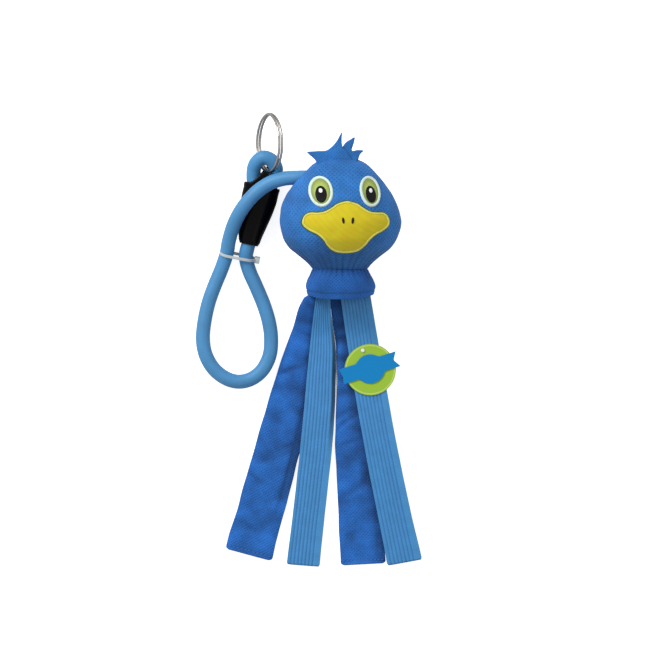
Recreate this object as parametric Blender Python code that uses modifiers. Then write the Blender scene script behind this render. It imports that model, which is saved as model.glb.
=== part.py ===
"""Bungee tug toy: a stuffed duck head with four straps, a round hang tag and a looped rubber tube on a rope clamp.

It lies on its back, face up. Metres, +Z up, +Y toward the crown. The origin is on the floor under the head.
"""

import math

import bmesh
import bpy
from mathutils import Matrix, Vector

for old in list(bpy.data.objects):
    bpy.data.objects.remove(old)

# Clearances that every piece shares
GAP = 0.0003
CUT_OVERRUN = 0.004

# Head and neck
HEAD_WIDTH = 0.084
HEAD_DEPTH = 0.064
HEAD_LENGTH = 0.0783
PINCH_Y = -0.0388
FLAT_DEPTH = 0.0005
FABRIC_WALL = 0.0009
FLAT_CUT_SIDE = 0.12
# Crown to neck pinch: height above the pinch, half width, half depth and height of the middle
HEAD_SHARES = (
    (1.0, 0.0, 0.0, 0.965),
    (0.993, 0.19, 0.19, 0.965),
    (0.975, 0.37, 0.36, 0.965),
    (0.927, 0.49, 0.48, 0.965),
    (0.853, 0.617, 0.61, 0.965),
    (0.766, 0.75, 0.745, 0.965),
    (0.623, 0.91, 0.91, 0.972),
    (0.51, 0.98, 0.98, 0.99),
    (0.427, 1.0, 1.0, 1.0),
    (0.29, 0.952, 0.952, 0.985),
    (0.193, 0.852, 0.85, 0.925),
    (0.116, 0.683, 0.70, 0.83),
    (0.051, 0.548, 0.55, 0.757),
    (0.0, 0.467, 0.42, 0.70),
)
HEAD_POINTS_ROUND = 32
HEAD_RINGS = 16

# Collar below the pinch
COLLAR_LENGTH = 0.0187
COLLAR_WIDTH = 0.0482
COLLAR_DEPTH = 0.03
COLLAR_HEM_DROP = 0.0055
# Pinch to hem: place along it, half width, half depth, fall of the middle, squareness
COLLAR_SHARES = (
    (0.2, 0.875, 0.965, 0.18, 2.1),
    (0.44, 0.962, 0.99, 0.40, 2.4),
    (0.69, 1.0, 1.0, 0.65, 2.7),
    (0.87, 0.988, 0.97, 0.85, 3.2),
    (1.0, 0.963, 0.95, 1.0, 3.4),
)
COLLAR_RINGS = 6
NECK_BAND_WALL = 0.001

# Sewn strap ends inside the collar
ROOT_HALF_WIDTH = 0.0202
ROOT_INNER_HALF_WIDTH = 0.0135
ROOT_DEPTH_IN = 0.0145
ROOT_RISE_IN = 0.0062

# Layers of the straps: middle of each at the root and where they lie flat
FABRIC_STRAP_THICK = 0.0034
ELASTIC_THICK = 0.002
FABRIC_ROOT_Z = 0.0082
ELASTIC_ROOT_Z = 0.0126
DROOP_LENGTH = 0.028
HINGE_OUT = 0.0022

# Fabric straps: cover, the elastic core in it and the puckers it draws
FABRIC_STRAP_WIDTH = 0.032
LEFT_FABRIC_ROOT_X = -0.0145
LEFT_FABRIC_LENGTH = 0.186
LEFT_FABRIC_ANGLE = math.radians(15.3)
RIGHT_FABRIC_ROOT_X = 0.0066
RIGHT_FABRIC_LENGTH = 0.187
RIGHT_FABRIC_ANGLE = math.radians(-3.0)
LEFT_FABRIC_WIDTH_SHARES = ((0.0, 0.45), (0.06, 0.62), (0.155, 0.78), (0.3, 0.90), (0.5, 0.96), (1.0, 1.0))
RIGHT_FABRIC_WIDTH_SHARES = ((0.0, 0.79), (0.06, 0.76), (0.155, 0.80), (0.3, 0.88), (0.5, 0.95), (1.0, 1.0))
CORE_THICK = 0.001
CORE_MARGIN = 0.0018
CORE_END_MARGIN = 0.003
PUCKERS = 15
PUCKER_DEPTH = 0.0003
FABRIC_SQUARENESS = 3.2
FABRIC_POINTS_ROUND = 12
PUCKER_STEPS = 3

# Ribbed elastic straps
ELASTIC_WIDTH = 0.0224
LEFT_ELASTIC_ROOT_X = -0.0118
LEFT_ELASTIC_LENGTH = 0.1875
LEFT_ELASTIC_ANGLE = math.radians(4.2)
RIGHT_ELASTIC_ROOT_X = 0.0112
RIGHT_ELASTIC_LENGTH = 0.189
RIGHT_ELASTIC_ANGLE = math.radians(-10.6)
LEFT_ELASTIC_WIDTH_SHARES = ((0.0, 0.44), (0.155, 0.66), (0.365, 0.82), (0.65, 0.94), (1.0, 1.0))
RIGHT_ELASTIC_WIDTH_SHARES = ((0.0, 0.93), (0.1, 0.98), (0.3, 1.0), (1.0, 1.0))
ELASTIC_RIBS = 7
RIB_DEPTH = 0.00035
ELASTIC_STATIONS = 16

# Face: turned toward the right on the head
FACE_TURN = math.radians(10.0)
PATCH_THICK = 0.0008
PATCH_LIFT = 0.05
PATCH_GAP = 0.0006
EYE_WIDTH = 0.0176
EYE_HEIGHT = 0.0225
EYE_SPACING = 0.0354
EYE_RISE = 0.0151
EYE_RIM = 0.0021
EYE_LEAN = math.radians(4.0)
PUPIL_WIDTH = 0.0078
PUPIL_HEIGHT = 0.012
PUPIL_DROP = 0.0022
GLINT_WIDTH = 0.0028
GLINT_HEIGHT = 0.0035
GLINT_RISE = 0.0018
BEAK_WIDTH = 0.0626
BEAK_HEIGHT = 0.0361
BEAK_DROP = 0.0095
BEAK_BORDER = 0.0016
BEAK_SHARES = (
    (0.0, 1.0), (0.22, 0.906), (0.36, 0.75), (0.51, 0.61), (0.67, 0.56), (0.83, 0.56), (0.95, 0.44), (1.0, 0.2),
    (0.965, 0.03), (0.84, -0.14), (0.665, -0.30), (0.53, -0.50), (0.435, -0.71), (0.27, -0.925), (0.0, -1.0),
)
NOSTRIL_WIDTH = 0.0021
NOSTRIL_HEIGHT = 0.0045
NOSTRIL_SPACING = 0.0064
NOSTRIL_DROP = 0.0051
NOSTRIL_THICK = 0.0005

# Fabric tuft at the crown, in two layers
TUFT_THICK = 0.0009
TUFT_FORWARD = 0.0055
TUFT_WIDTH = 0.0398
TUFT_HEIGHT = 0.0266
TUFT_BASE_Y = 0.0307
TUFT_X = -0.0034
# Share of the half width and of the height
TUFT_FRONT_SHARES = (
    (-0.96, 0.455), (-0.66, 0.487), (-0.33, 0.50), (-0.14, 0.585), (0.05, 0.75), (0.235, 1.0), (0.225, 0.80),
    (0.255, 0.60), (0.42, 0.44), (0.60, 0.20), (0.4, 0.02), (-0.1, 0.0), (-0.55, 0.06), (-0.66, 0.24), (-0.82, 0.36),
)
TUFT_BACK_SHARES = (
    (0.05, 0.30), (0.25, 0.60), (0.36, 0.72), (0.50, 0.79), (0.66, 0.853), (0.63, 0.69), (0.565, 0.50), (0.75, 0.52),
    (0.955, 0.50), (0.84, 0.40), (0.75, 0.22), (0.55, 0.06), (0.2, 0.02),
)

# Rubber tube and the stop that holds its end in the head
TUBE_DIAMETER = 0.01
TUBE_IN_HEAD_Z = 0.029
TUBE_EXIT_Y = 0.0253
STOP_DIAMETER = 0.016
STOP_THICK = 0.004
TUBE_STEPS = 2
TUBE_ROUTE = (
    (-0.0143, 0.0253, 0.0290), (-0.0225, 0.0253, 0.0290), (-0.0303, 0.0251, 0.0287), (-0.0387, 0.0245, 0.0270),
    (-0.0478, 0.0219, 0.0247), (-0.0562, 0.0167, 0.0234), (-0.0632, 0.0100, 0.0230), (-0.0695, 0.0016, 0.0206),
    (-0.0744, -0.0082, 0.0162), (-0.0776, -0.0187, 0.0110), (-0.0793, -0.0278, 0.0072), (-0.0828, -0.0383, 0.0054),
    (-0.0877, -0.0502, 0.00505), (-0.0919, -0.0621, 0.00505), (-0.0947, -0.0747, 0.00505), (-0.0959, -0.0873, 0.00505),
    (-0.0940, -0.0985, 0.00505), (-0.0884, -0.1083, 0.00505), (-0.0800, -0.1149, 0.00505), (-0.0709, -0.1174, 0.00505),
    (-0.0618, -0.1153, 0.00505), (-0.0541, -0.1090, 0.00505), (-0.0492, -0.0988, 0.00505), (-0.0482, -0.0873, 0.00505),
    (-0.0496, -0.0761, 0.00505), (-0.0531, -0.0642, 0.00505), (-0.0583, -0.0516, 0.00505), (-0.0634, -0.0400, 0.0054),
    (-0.0657, -0.0306, 0.0067), (-0.0650, -0.0250, 0.0083), (-0.0635, -0.0197, 0.00895), (-0.0612, -0.0098, 0.00895),
)

# Rope clamp: two half shells
CLAMP_LENGTH = 0.0425
CLAMP_WIDTH = 0.0252
CLAMP_THICK = 0.0172
CLAMP_WALL = 0.0011
CLAMP_ANGLE = math.radians(13.0)
CLAMP_FOOT_X = -0.0639
CLAMP_FOOT_Y = -0.0215
# Foot to mouth: place along it, half width, half thickness, squareness
CLAMP_SHARES = (
    (0.0, 0.575, 0.80, 2.0), (0.12, 0.62, 0.83, 2.0), (0.35, 0.77, 0.90, 2.1), (0.6, 0.93, 0.98, 2.3),
    (0.8, 1.0, 1.0, 2.5), (1.0, 0.992, 0.99, 2.6),
)
CLAMP_RINGS = 9
CLAMP_POINTS_HALF = 12
CLAMP_SPLIT = 0.0007

# The tube's fold above the clamp
EYE_LEG_OFFSET = 0.0055
FOLD_RADIUS = 0.009
FOLD_RISE = 0.0194
FOLD_LEAN = -0.0018
FOLD_LIFT = 0.006
FOLD_START = 0.006
LEG_DEPTH = 0.012
TUBE_JOIN = 0.012
FOLD_ANGLES = (-10, 10, 30, 60, 90, 120, 150, 170, 190)
EYE_STEPS = 2

# Split ring
RING_OUTER = 0.0407
RING_WIRE = 0.0017
RING_PITCH = 0.0022
RING_TURNS = 2
RING_STEPS = 24
RING_TILT = math.radians(62.8)
RING_X = -0.05
RING_Y = 0.0488
RING_Z = 0.0191

# Cable tie round both strands
TIE_SPACING = 0.0137
TIE_WIDTH = 0.002
TIE_THICK = 0.0009
TIE_CLEAR = 0.0013
TIE_X = -0.0728
TIE_Y = -0.0294
TIE_Z = 0.0069
TIE_ANGLE = math.radians(-11.0)
TIE_PITCH = math.radians(13.0)
TIE_HEAD = 0.0036
TIE_HEAD_LONG = 0.0042

# Hang tag and its pin
TAG_DIAMETER = 0.036
TAG_THICK = 0.0005
TAG_X = 0.0212
TAG_Y = -0.109
TAG_BAND_LENGTH = 0.0423
TAG_BAND_WIDTH = 0.0127
TAG_BAND_NOTCH = 0.0035
TAG_BAND_ANGLE = math.radians(14.7)
TAG_HOLE_X = -0.0052
TAG_HOLE_Y = 0.0134
PIN_DIAMETER = 0.0014
PIN_HEAD_DIAMETER = 0.003
PIN_HEAD_THICK = 0.0007

# Places worked out from the sizes above
HEAD_MIDDLE_Z = HEAD_DEPTH / 2 + GAP / 2 - FLAT_DEPTH
PINCH_MIDDLE_Z = HEAD_MIDDLE_Z * HEAD_SHARES[-1][3]
HEM_Y = PINCH_Y - COLLAR_LENGTH
ROOT_Y = HEM_Y - GAP
HINGE_Y = ROOT_Y - HINGE_OUT
FABRIC_FLAT_Z = FABRIC_STRAP_THICK / 2
ELASTIC_FLAT_Z = FABRIC_STRAP_THICK + GAP + ELASTIC_THICK / 2
PART_NAME = "bungee_tug_toy"

parts = bpy.data.collections.new(PART_NAME)
cutters = bpy.data.collections.new("cutters")
bpy.context.scene.collection.children.link(parts)
bpy.context.scene.collection.children.link(cutters)
cutters.hide_render = True


def material(name, colour, roughness, metallic=0.0, alpha=1.0):
    made = bpy.data.materials.new(name)
    made.use_nodes = True
    shader = made.node_tree.nodes["Principled BSDF"]
    shader.inputs["Base Color"].default_value = (*colour, 1.0)
    shader.inputs["Roughness"].default_value = roughness
    shader.inputs["Metallic"].default_value = metallic
    shader.inputs["Alpha"].default_value = alpha
    made.diffuse_color = (*colour, alpha)
    return made


HEAD_BLUE = material("blue mesh fabric", (0.045, 0.17, 0.54), 0.85)
STRAP_BLUE = material("dark blue fabric", (0.026, 0.13, 0.45), 0.85)
ELASTIC_BLUE = material("light blue elastic", (0.07, 0.29, 0.56), 0.6)
CORE_WHITE = material("white elastic core", (0.8, 0.8, 0.78), 0.7)
BEAK_YELLOW = material("yellow felt", (0.62, 0.48, 0.02), 0.85)
BORDER_YELLOW = material("pale yellow thread", (0.75, 0.68, 0.08), 0.6)
THREAD_WHITE = material("white thread", (0.75, 0.85, 0.78), 0.6)
THREAD_GREEN = material("lime thread", (0.45, 0.55, 0.09), 0.6)
THREAD_BLACK = material("black thread", (0.01, 0.01, 0.012), 0.5)
FILLING_WHITE = material("white fibre filling", (0.85, 0.85, 0.83), 0.95)
WEBBING_BLUE = material("blue seam tape", (0.03, 0.1, 0.35), 0.85)
TAG_GREEN = material("lime card", (0.34, 0.54, 0.04), 0.45)
TAG_BLUE = material("blue card", (0.005, 0.24, 0.6), 0.45)
PIN_WHITE = material("white nylon", (0.85, 0.85, 0.85), 0.4)
TUBE_BLUE = material("light blue rubber", (0.07, 0.29, 0.58), 0.45)
CLAMP_BLACK = material("black plastic", (0.004, 0.004, 0.005), 0.35)
RING_STEEL = material("steel wire", (0.5, 0.49, 0.46), 0.25, 1.0)
TIE_CLEAR_NYLON = material("clear nylon", (0.8, 0.84, 0.85), 0.3, 0.0, 0.6)
STOP_GREY = material("grey plastic", (0.3, 0.3, 0.3), 0.5)


def place(name, data, look, home=None):
    obj = bpy.data.objects.new(name, data)
    if home is cutters:
        obj.hide_render = True
        obj.display_type = "WIRE"
    else:
        data.materials.append(look)
    (home or parts).objects.link(obj)
    return obj


def smooth(mesh):
    mesh.shade_smooth()
    mesh.set_sharp_from_angle(angle=math.radians(40))


def through(rows, steps):
    """Points on a smooth curve through the rows, with the given number of steps between two rows."""
    rows = [list(map(float, row)) for row in rows]
    ends = [[2 * a - b for a, b in zip(rows[0], rows[1])]] + rows + [[2 * a - b for a, b in zip(rows[-1], rows[-2])]]
    found = []
    for i in range(1, len(ends) - 2):
        for j in range(steps):
            t = j / steps
            found.append([
                (2 * b + (c - a) * t + (2 * a - 5 * b + 4 * c - d) * t * t + (3 * b - a - 3 * c + d) * t**3) / 2
                for a, b, c, d in zip(*ends[i - 1:i + 3])
            ])
    return found + [rows[-1]]


def along(rows, share):
    """The row at a share of the table, whose first column is the share, smoothly between its rows."""
    share = min(max(share, rows[0][0]), rows[-1][0])
    i = max(k for k in range(len(rows) - 1) if rows[k][0] <= share)
    t = (share - rows[i][0]) / (rows[i + 1][0] - rows[i][0])
    a, b = rows[max(i - 1, 0)], rows[min(i + 2, len(rows) - 1)]
    p, q = rows[i], rows[i + 1]
    found = []
    for k in range(1, len(p)):
        rise = (q[k] - p[k]) / (q[0] - p[0])
        before = (p[k] - a[k]) / (p[0] - a[0]) if p[0] > a[0] else rise
        after = (b[k] - q[k]) / (b[0] - q[0]) if b[0] > q[0] else rise
        m0 = 0.0 if before * rise <= 0 else 2 * before * rise / (before + rise)
        m1 = 0.0 if after * rise <= 0 else 2 * after * rise / (after + rise)
        w = q[0] - p[0]
        found.append(
            p[k] * (2 * t**3 - 3 * t * t + 1) + q[k] * (3 * t * t - 2 * t**3)
            + m0 * w * (t**3 - 2 * t * t + t) + m1 * w * (t**3 - t * t)
        )
    return found


def oval(half_width, half_depth, squareness, angle):
    c, s = math.cos(angle), math.sin(angle)
    return (
        math.copysign(abs(c) ** (2 / squareness), c) * half_width,
        math.copysign(abs(s) ** (2 / squareness), s) * half_depth,
    )


def loft(name, rings, look, closed=True, capped=True, home=None):
    """A skin over rings of points. A ring whose points all meet becomes one point."""
    mesh = bpy.data.meshes.new(name)
    bm = bmesh.new()
    made = [[bm.verts.new(p) for p in ring] for ring in rings]
    for low, high in zip(made, made[1:]):
        for i in range(len(low) - (not closed)):
            j = (i + 1) % len(low)
            bm.faces.new((low[i], low[j], high[j], high[i]))
    if capped:
        bm.faces.new(made[0][::-1])
        bm.faces.new(made[-1])
    bmesh.ops.remove_doubles(bm, verts=bm.verts, dist=GAP / 100)
    bmesh.ops.dissolve_degenerate(bm, edges=bm.edges, dist=GAP / 100)
    bmesh.ops.recalc_face_normals(bm, faces=bm.faces)
    if capped:
        bmesh.ops.triangulate(bm, faces=[f for f in bm.faces if len(f.verts) > 4])
    bm.to_mesh(mesh)
    bm.free()
    smooth(mesh)
    return place(name, mesh, look, home)


def solidify(obj, thick, offset):
    mod = obj.modifiers.new("wall", "SOLIDIFY")
    mod.thickness = thick
    mod.offset = offset
    mod.use_even_offset = True
    mod.use_quality_normals = True
    return mod


def cut(obj, cutter, how="DIFFERENCE"):
    mod = obj.modifiers.new("cut " + cutter.name, "BOOLEAN")
    mod.operation = how
    mod.object = cutter
    mod.solver = "EXACT"
    return mod


def box(name, size, centre, look=None, home=None):
    mesh = bpy.data.meshes.new(name)
    bm = bmesh.new()
    bmesh.ops.create_cube(bm, size=1)
    bmesh.ops.scale(bm, vec=size, verts=bm.verts)
    bm.to_mesh(mesh)
    bm.free()
    obj = place(name, mesh, look, home)
    obj.location = centre
    return obj


def rod(name, diameter, length, centre, axis, look=None, home=None, sides=24):
    mesh = bpy.data.meshes.new(name)
    bm = bmesh.new()
    bmesh.ops.create_cone(
        bm, cap_ends=True, segments=sides, radius1=diameter / 2, radius2=diameter / 2, depth=length
    )
    bm.to_mesh(mesh)
    bm.free()
    smooth(mesh)
    obj = place(name, mesh, look, home)
    obj.location = centre
    obj.rotation_euler = Vector(axis).to_track_quat("Z", "Y").to_euler()
    return obj


def tube(name, points, diameter, look, resolution=2):
    curve = bpy.data.curves.new(name, "CURVE")
    curve.dimensions = "3D"
    curve.bevel_depth = diameter / 2
    curve.bevel_resolution = resolution
    curve.use_fill_caps = True
    curve.twist_mode = "MINIMUM"
    spline = curve.splines.new("POLY")
    spline.points.add(len(points) - 1)
    for made, point in zip(spline.points, points):
        made.co = (*point, 1.0)
    return place(name, curve, look)


def flat_outline(name, outlines, thick, look, home=None):
    """A flat piece from closed outlines in its own plane, the first outside and the others holes."""
    curve = bpy.data.curves.new(name, "CURVE")
    curve.dimensions = "2D"
    curve.fill_mode = "BOTH"
    curve.extrude = thick / 2
    for outline in outlines:
        spline = curve.splines.new("POLY")
        spline.points.add(len(outline) - 1)
        for made, point in zip(spline.points, outline):
            made.co = (point[0], point[1], 0.0, 1.0)
        spline.use_cyclic_u = True
    return place(name, curve, look, home)


def meshed(obj, home=None):
    """The same shape as one closed mesh object, its caps welded, in place of the curve."""
    look = obj.data.materials[0] if obj.data.materials else None
    bpy.context.view_layer.update()
    graph = bpy.context.evaluated_depsgraph_get()
    mesh = bpy.data.meshes.new_from_object(obj.evaluated_get(graph))
    bm = bmesh.new()
    bm.from_mesh(mesh)
    bmesh.ops.remove_doubles(bm, verts=bm.verts, dist=GAP / 100)
    bmesh.ops.recalc_face_normals(bm, faces=bm.faces)
    bm.to_mesh(mesh)
    bm.free()
    name, matrix = obj.name, obj.matrix_world.copy()
    bpy.data.objects.remove(obj)
    mesh.materials.clear()
    made = place(name, mesh, look, home)
    made.name = name
    made.matrix_world = matrix
    return made


def round_outline(width, height, count, centre=(0.0, 0.0), lean=0.0):
    found = []
    for i in range(count):
        a = 2 * math.pi * i / count
        x, y = width / 2 * math.cos(a), height / 2 * math.sin(a)
        found.append((
            centre[0] + x * math.cos(lean) - y * math.sin(lean), centre[1] + x * math.sin(lean) + y * math.cos(lean)
        ))
    return found


def inset(outline, distance):
    """The outline moved inward along its own normals. It runs anticlockwise."""
    found = []
    for i, point in enumerate(outline):
        before, after = outline[i - 1], outline[(i + 1) % len(outline)]
        run = Vector((after[0] - before[0], after[1] - before[1])).normalized()
        found.append((point[0] - run.y * distance, point[1] + run.x * distance))
    return found


# Head and neck profile: one row of y, half width, half depth, middle height and squareness for each ring
def head_row(share):
    width, depth, rise = along([(1 - row[0], *row[1:]) for row in HEAD_SHARES], share)
    return (
        PINCH_Y + HEAD_LENGTH * (1 - share), HEAD_WIDTH / 2 * width, HEAD_DEPTH / 2 * depth, HEAD_MIDDLE_Z * rise, 2.0
    )


def collar_row(share):
    pinch = head_row(1.0)
    first = (0.0, pinch[1] / (COLLAR_WIDTH / 2), pinch[2] / (COLLAR_DEPTH / 2), 0.0, 2.0)
    width, depth, fall, squareness = along((first, *COLLAR_SHARES), share)
    return (
        PINCH_Y - COLLAR_LENGTH * share, COLLAR_WIDTH / 2 * width, COLLAR_DEPTH / 2 * depth,
        PINCH_MIDDLE_Z - COLLAR_HEM_DROP * fall, squareness,
    )


def ring_of(row, start, end, count):
    y, width, depth, middle, squareness = row
    found = []
    for i in range(count):
        a = start + (end - start) * i / (count - 1)
        x, z = oval(width, depth, squareness, a)
        found.append((x, y, middle + z))
    return found


def full_ring(row, count):
    return ring_of(row, 0.0, 2 * math.pi * (count - 1) / count, count)


# Rings close together at the crown and the neck, where the profile turns fastest
HEAD_RING_PLACES = [(1 - math.cos(math.pi * i / HEAD_RINGS)) / 2 for i in range(HEAD_RINGS + 1)]
head_rows = [head_row(share) for share in HEAD_RING_PLACES]
head_rows[-1] = (head_rows[-1][0] + GAP / 2, *head_rows[-1][1:])


def lifted(rings, rise):
    return [[(x, y, z + rise) for x, y, z in ring] for ring in rings]


half_count = HEAD_POINTS_ROUND // 2 + 1
front_rings = lifted([ring_of(row, 0.0, math.pi, half_count) for row in head_rows], GAP / 2)
back_rings = lifted([ring_of(row, math.pi, 2 * math.pi, half_count) for row in head_rows], -GAP / 2)
head_cover_front = loft("head_cover_front", front_rings, HEAD_BLUE, closed=False, capped=False)
head_cover_back = loft("head_cover_back", back_rings, HEAD_BLUE, closed=False, capped=False)
for cover in (head_cover_front, head_cover_back):
    solidify(cover, FABRIC_WALL, -1.0)


def outward(obj, centre):
    """Turns an open skin's faces away from a point inside it."""
    bm = bmesh.new()
    bm.from_mesh(obj.data)
    total = sum((f.calc_center_median() - Vector(centre)).dot(f.normal) * f.calc_area() for f in bm.faces)
    if total < 0:
        bmesh.ops.reverse_faces(bm, faces=bm.faces)
    bm.to_mesh(obj.data)
    bm.free()


outward(head_cover_front, (0.0, 0.0, 0.0))
outward(head_cover_back, (0.0, 0.0, HEAD_DEPTH))

# The back of the head rests on a small flat
floor_cutter = box(
    "floor_cutter", (FLAT_CUT_SIDE, FLAT_CUT_SIDE, CUT_OVERRUN), (0.0, 0.0, -CUT_OVERRUN / 2), home=cutters
)
cut(head_cover_back, floor_cutter)

# Hole for the tube, at the side of the crown
tube_hole_inner = TUBE_ROUTE[0][0] + GAP
hole_length = HEAD_WIDTH / 2 + tube_hole_inner + CUT_OVERRUN
tube_hole_cutter = rod(
    "tube_hole_cutter", TUBE_DIAMETER + 4 * GAP, hole_length,
    (tube_hole_inner - hole_length / 2, TUBE_EXIT_Y, TUBE_IN_HEAD_Z), (1.0, 0.0, 0.0), home=cutters,
)
cut(head_cover_front, tube_hole_cutter)
cut(head_cover_back, tube_hole_cutter)

# Fibre filling, one soft block inside the covers
filling_rows = [head_row(share) for share in HEAD_RING_PLACES if share < 1 - HEAD_SHARES[-3][0]]
head_filling = loft("head_filling", [full_ring(row, 24) for row in filling_rows], FILLING_WHITE)
shrink = head_filling.modifiers.new("clear of the covers", "DISPLACE")
shrink.strength = -(FABRIC_WALL + 2 * GAP)
shrink.mid_level = 0.0
stop_x = tube_hole_inner + STOP_THICK / 2
stop_cutter = rod(
    "stop_cutter", STOP_DIAMETER + 2 * GAP, STOP_THICK + 2 * GAP, (stop_x, TUBE_EXIT_Y, TUBE_IN_HEAD_Z),
    (1.0, 0.0, 0.0), home=cutters,
)
cut(head_filling, stop_cutter)
cut(head_filling, tube_hole_cutter)
tube_end_stop = rod(
    "tube_end_stop", STOP_DIAMETER, STOP_THICK, (stop_x, TUBE_EXIT_Y, TUBE_IN_HEAD_Z), (1.0, 0.0, 0.0), STOP_GREY
)

# Collar: an open skirt with a fabric wall
collar_rows = [collar_row(i / COLLAR_RINGS) for i in range(COLLAR_RINGS + 1)]
collar_rows[0] = (collar_rows[0][0] - GAP / 2, *collar_rows[0][1:])
neck_collar = loft("neck_collar", [full_ring(row, HEAD_POINTS_ROUND) for row in collar_rows], HEAD_BLUE, capped=False)
outward(neck_collar, (0.0, (PINCH_Y + HEM_Y) / 2, PINCH_MIDDLE_Z - COLLAR_HEM_DROP / 2))
solidify(neck_collar, FABRIC_WALL, -1.0)

# Seam tape inside the pinch, bridging head and collar
band_rows = [head_row(1 - 0.06 * i / 3) for i in (3, 2, 1, 0)] + [collar_row(0.3 * i / 3) for i in (1, 2, 3)]
neck_band = loft("neck_band", [full_ring(row, HEAD_POINTS_ROUND) for row in band_rows], WEBBING_BLUE, capped=False)
outward(neck_band, (0.0, PINCH_Y, PINCH_MIDDLE_Z))
tuck = neck_band.modifiers.new("inside the wall", "DISPLACE")
tuck.strength = -(FABRIC_WALL + GAP)
tuck.mid_level = 0.0
solidify(neck_band, NECK_BAND_WALL, -1.0)

# Sewn ends of the four straps, gathered into the collar
root_low = FABRIC_ROOT_Z - FABRIC_STRAP_THICK / 2
root_high = ELASTIC_ROOT_Z + ELASTIC_THICK / 2
root_middle = (root_low + root_high) / 2
root_half = (root_high - root_low) / 2
root_rings = []
for i in range(5):
    t = i / 4
    row = (
        HEM_Y + ROOT_DEPTH_IN * t, ROOT_HALF_WIDTH + (ROOT_INNER_HALF_WIDTH - ROOT_HALF_WIDTH) * t, root_half,
        root_middle + ROOT_RISE_IN * t, 4.0,
    )
    root_rings.append(full_ring(row, 20))
sewn_strap_ends = loft("sewn_strap_ends", root_rings, WEBBING_BLUE)


# Straps
def droop(y, root_z, flat_z):
    t = min(max((HINGE_Y - y) / DROOP_LENGTH, 0.0), 1.0)
    return root_z + (flat_z - root_z) * t * t * (3 - 2 * t)


def strap_stations(root_x, length, angle, width, width_shares, root_z, flat_z, places):
    """The left and right edge point of each cross-section, square to the strap at its end and to the collar at its root."""
    found = []
    for share in places:
        half = width / 2 * along(width_shares, share)[0]
        turn = angle * min(max(share / 0.35, 0.0), 1.0)
        x = root_x - math.sin(angle) * length * share
        y = ROOT_Y - math.cos(angle) * length * share
        half = half / math.cos(angle - turn)
        ends = []
        for side in (-1, 1):
            px, py = x + side * half * math.cos(turn), y - side * half * math.sin(turn)
            ends.append((px, py, droop(py, root_z, flat_z)))
        found.append(ends)
    return found


def section(ends, shape):
    """Cross-section points: each a share across from left to right, and a height over the middle."""
    (lx, ly, lz), (rx, ry, rz) = ends
    return [(lx + (rx - lx) * s, ly + (ry - ly) * s, lz + (rz - lz) * s + h) for s, h in shape]


def oval_shape(half_thick, squareness, count, margin=0.0):
    found = []
    for i in range(count):
        x, z = oval(0.5 - margin, half_thick, squareness, 2 * math.pi * (i + 0.5) / count)
        found.append((0.5 + x, z))
    return found


def span_of(ends):
    return (Vector(ends[1]) - Vector(ends[0])).length


def fabric_strap(side, root_x, length, angle, width_shares):
    count = PUCKERS * PUCKER_STEPS
    places = [i / count for i in range(count + 1)]
    stations = strap_stations(
        root_x, length, angle, FABRIC_STRAP_WIDTH, width_shares, FABRIC_ROOT_Z, FABRIC_FLAT_Z, places
    )
    rings = []
    for i, ends in enumerate(stations):
        pucker = PUCKER_DEPTH * (1 - math.cos(2 * math.pi * i / PUCKER_STEPS)) / 2
        rings.append(section(ends, oval_shape(FABRIC_STRAP_THICK / 2 - pucker, FABRIC_SQUARENESS, FABRIC_POINTS_ROUND)))
    cover = loft("fabric_strap_" + side + "_cover", rings, STRAP_BLUE)
    # The core lies in a pocket that is open at the root and sewn shut at the far end
    end_share = 1 - CORE_END_MARGIN / length
    for name, margin, half, stop, start in (
        ("core", CORE_MARGIN, CORE_THICK / 2, end_share, 0.0),
        ("pocket_cutter", CORE_MARGIN - GAP, CORE_THICK / 2 + GAP, end_share + GAP / length, -GAP / length),
    ):
        kept = [p for p in places if p < stop] + [stop]
        inner = strap_stations(
            root_x, length, angle, FABRIC_STRAP_WIDTH, width_shares, FABRIC_ROOT_Z, FABRIC_FLAT_Z, kept
        )
        rings = []
        for ends in inner:
            share = margin / span_of(ends)
            rings.append(section(ends, ((share, -half), (1 - share, -half), (1 - share, half), (share, half))))
        if start < 0:
            rings[0] = [(x, y + GAP, z) for x, y, z in rings[0]]
            made = loft("strap_" + side + "_" + name, rings, None, home=cutters)
            cut(cover, made)
        else:
            loft("fabric_strap_" + side + "_core", rings, CORE_WHITE)
    return cover


def elastic_shape():
    """Round-edged band with ribs along both faces."""
    steps = ELASTIC_RIBS * 2
    top = []
    for i in range(steps + 1):
        s = i / steps
        top.append((s, ELASTIC_THICK / 2 - RIB_DEPTH * (1 + math.cos(2 * math.pi * ELASTIC_RIBS * s)) / 2))
    bottom = [(s, -h) for s, h in reversed(top)]
    return [(1 - s, h) for s, h in top] + [(1 - s, h) for s, h in bottom]


def elastic_strap(side, root_x, length, angle, width_shares):
    bends = DROOP_LENGTH / length
    places = [bends * i / 8 for i in range(8)]
    places += [bends + (1 - bends) * i / (ELASTIC_STATIONS - 8) for i in range(ELASTIC_STATIONS - 7)]
    stations = strap_stations(
        root_x, length, angle, ELASTIC_WIDTH, width_shares, ELASTIC_ROOT_Z, ELASTIC_FLAT_Z, places
    )
    return loft("elastic_strap_" + side, [section(ends, elastic_shape()) for ends in stations], ELASTIC_BLUE)


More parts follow.
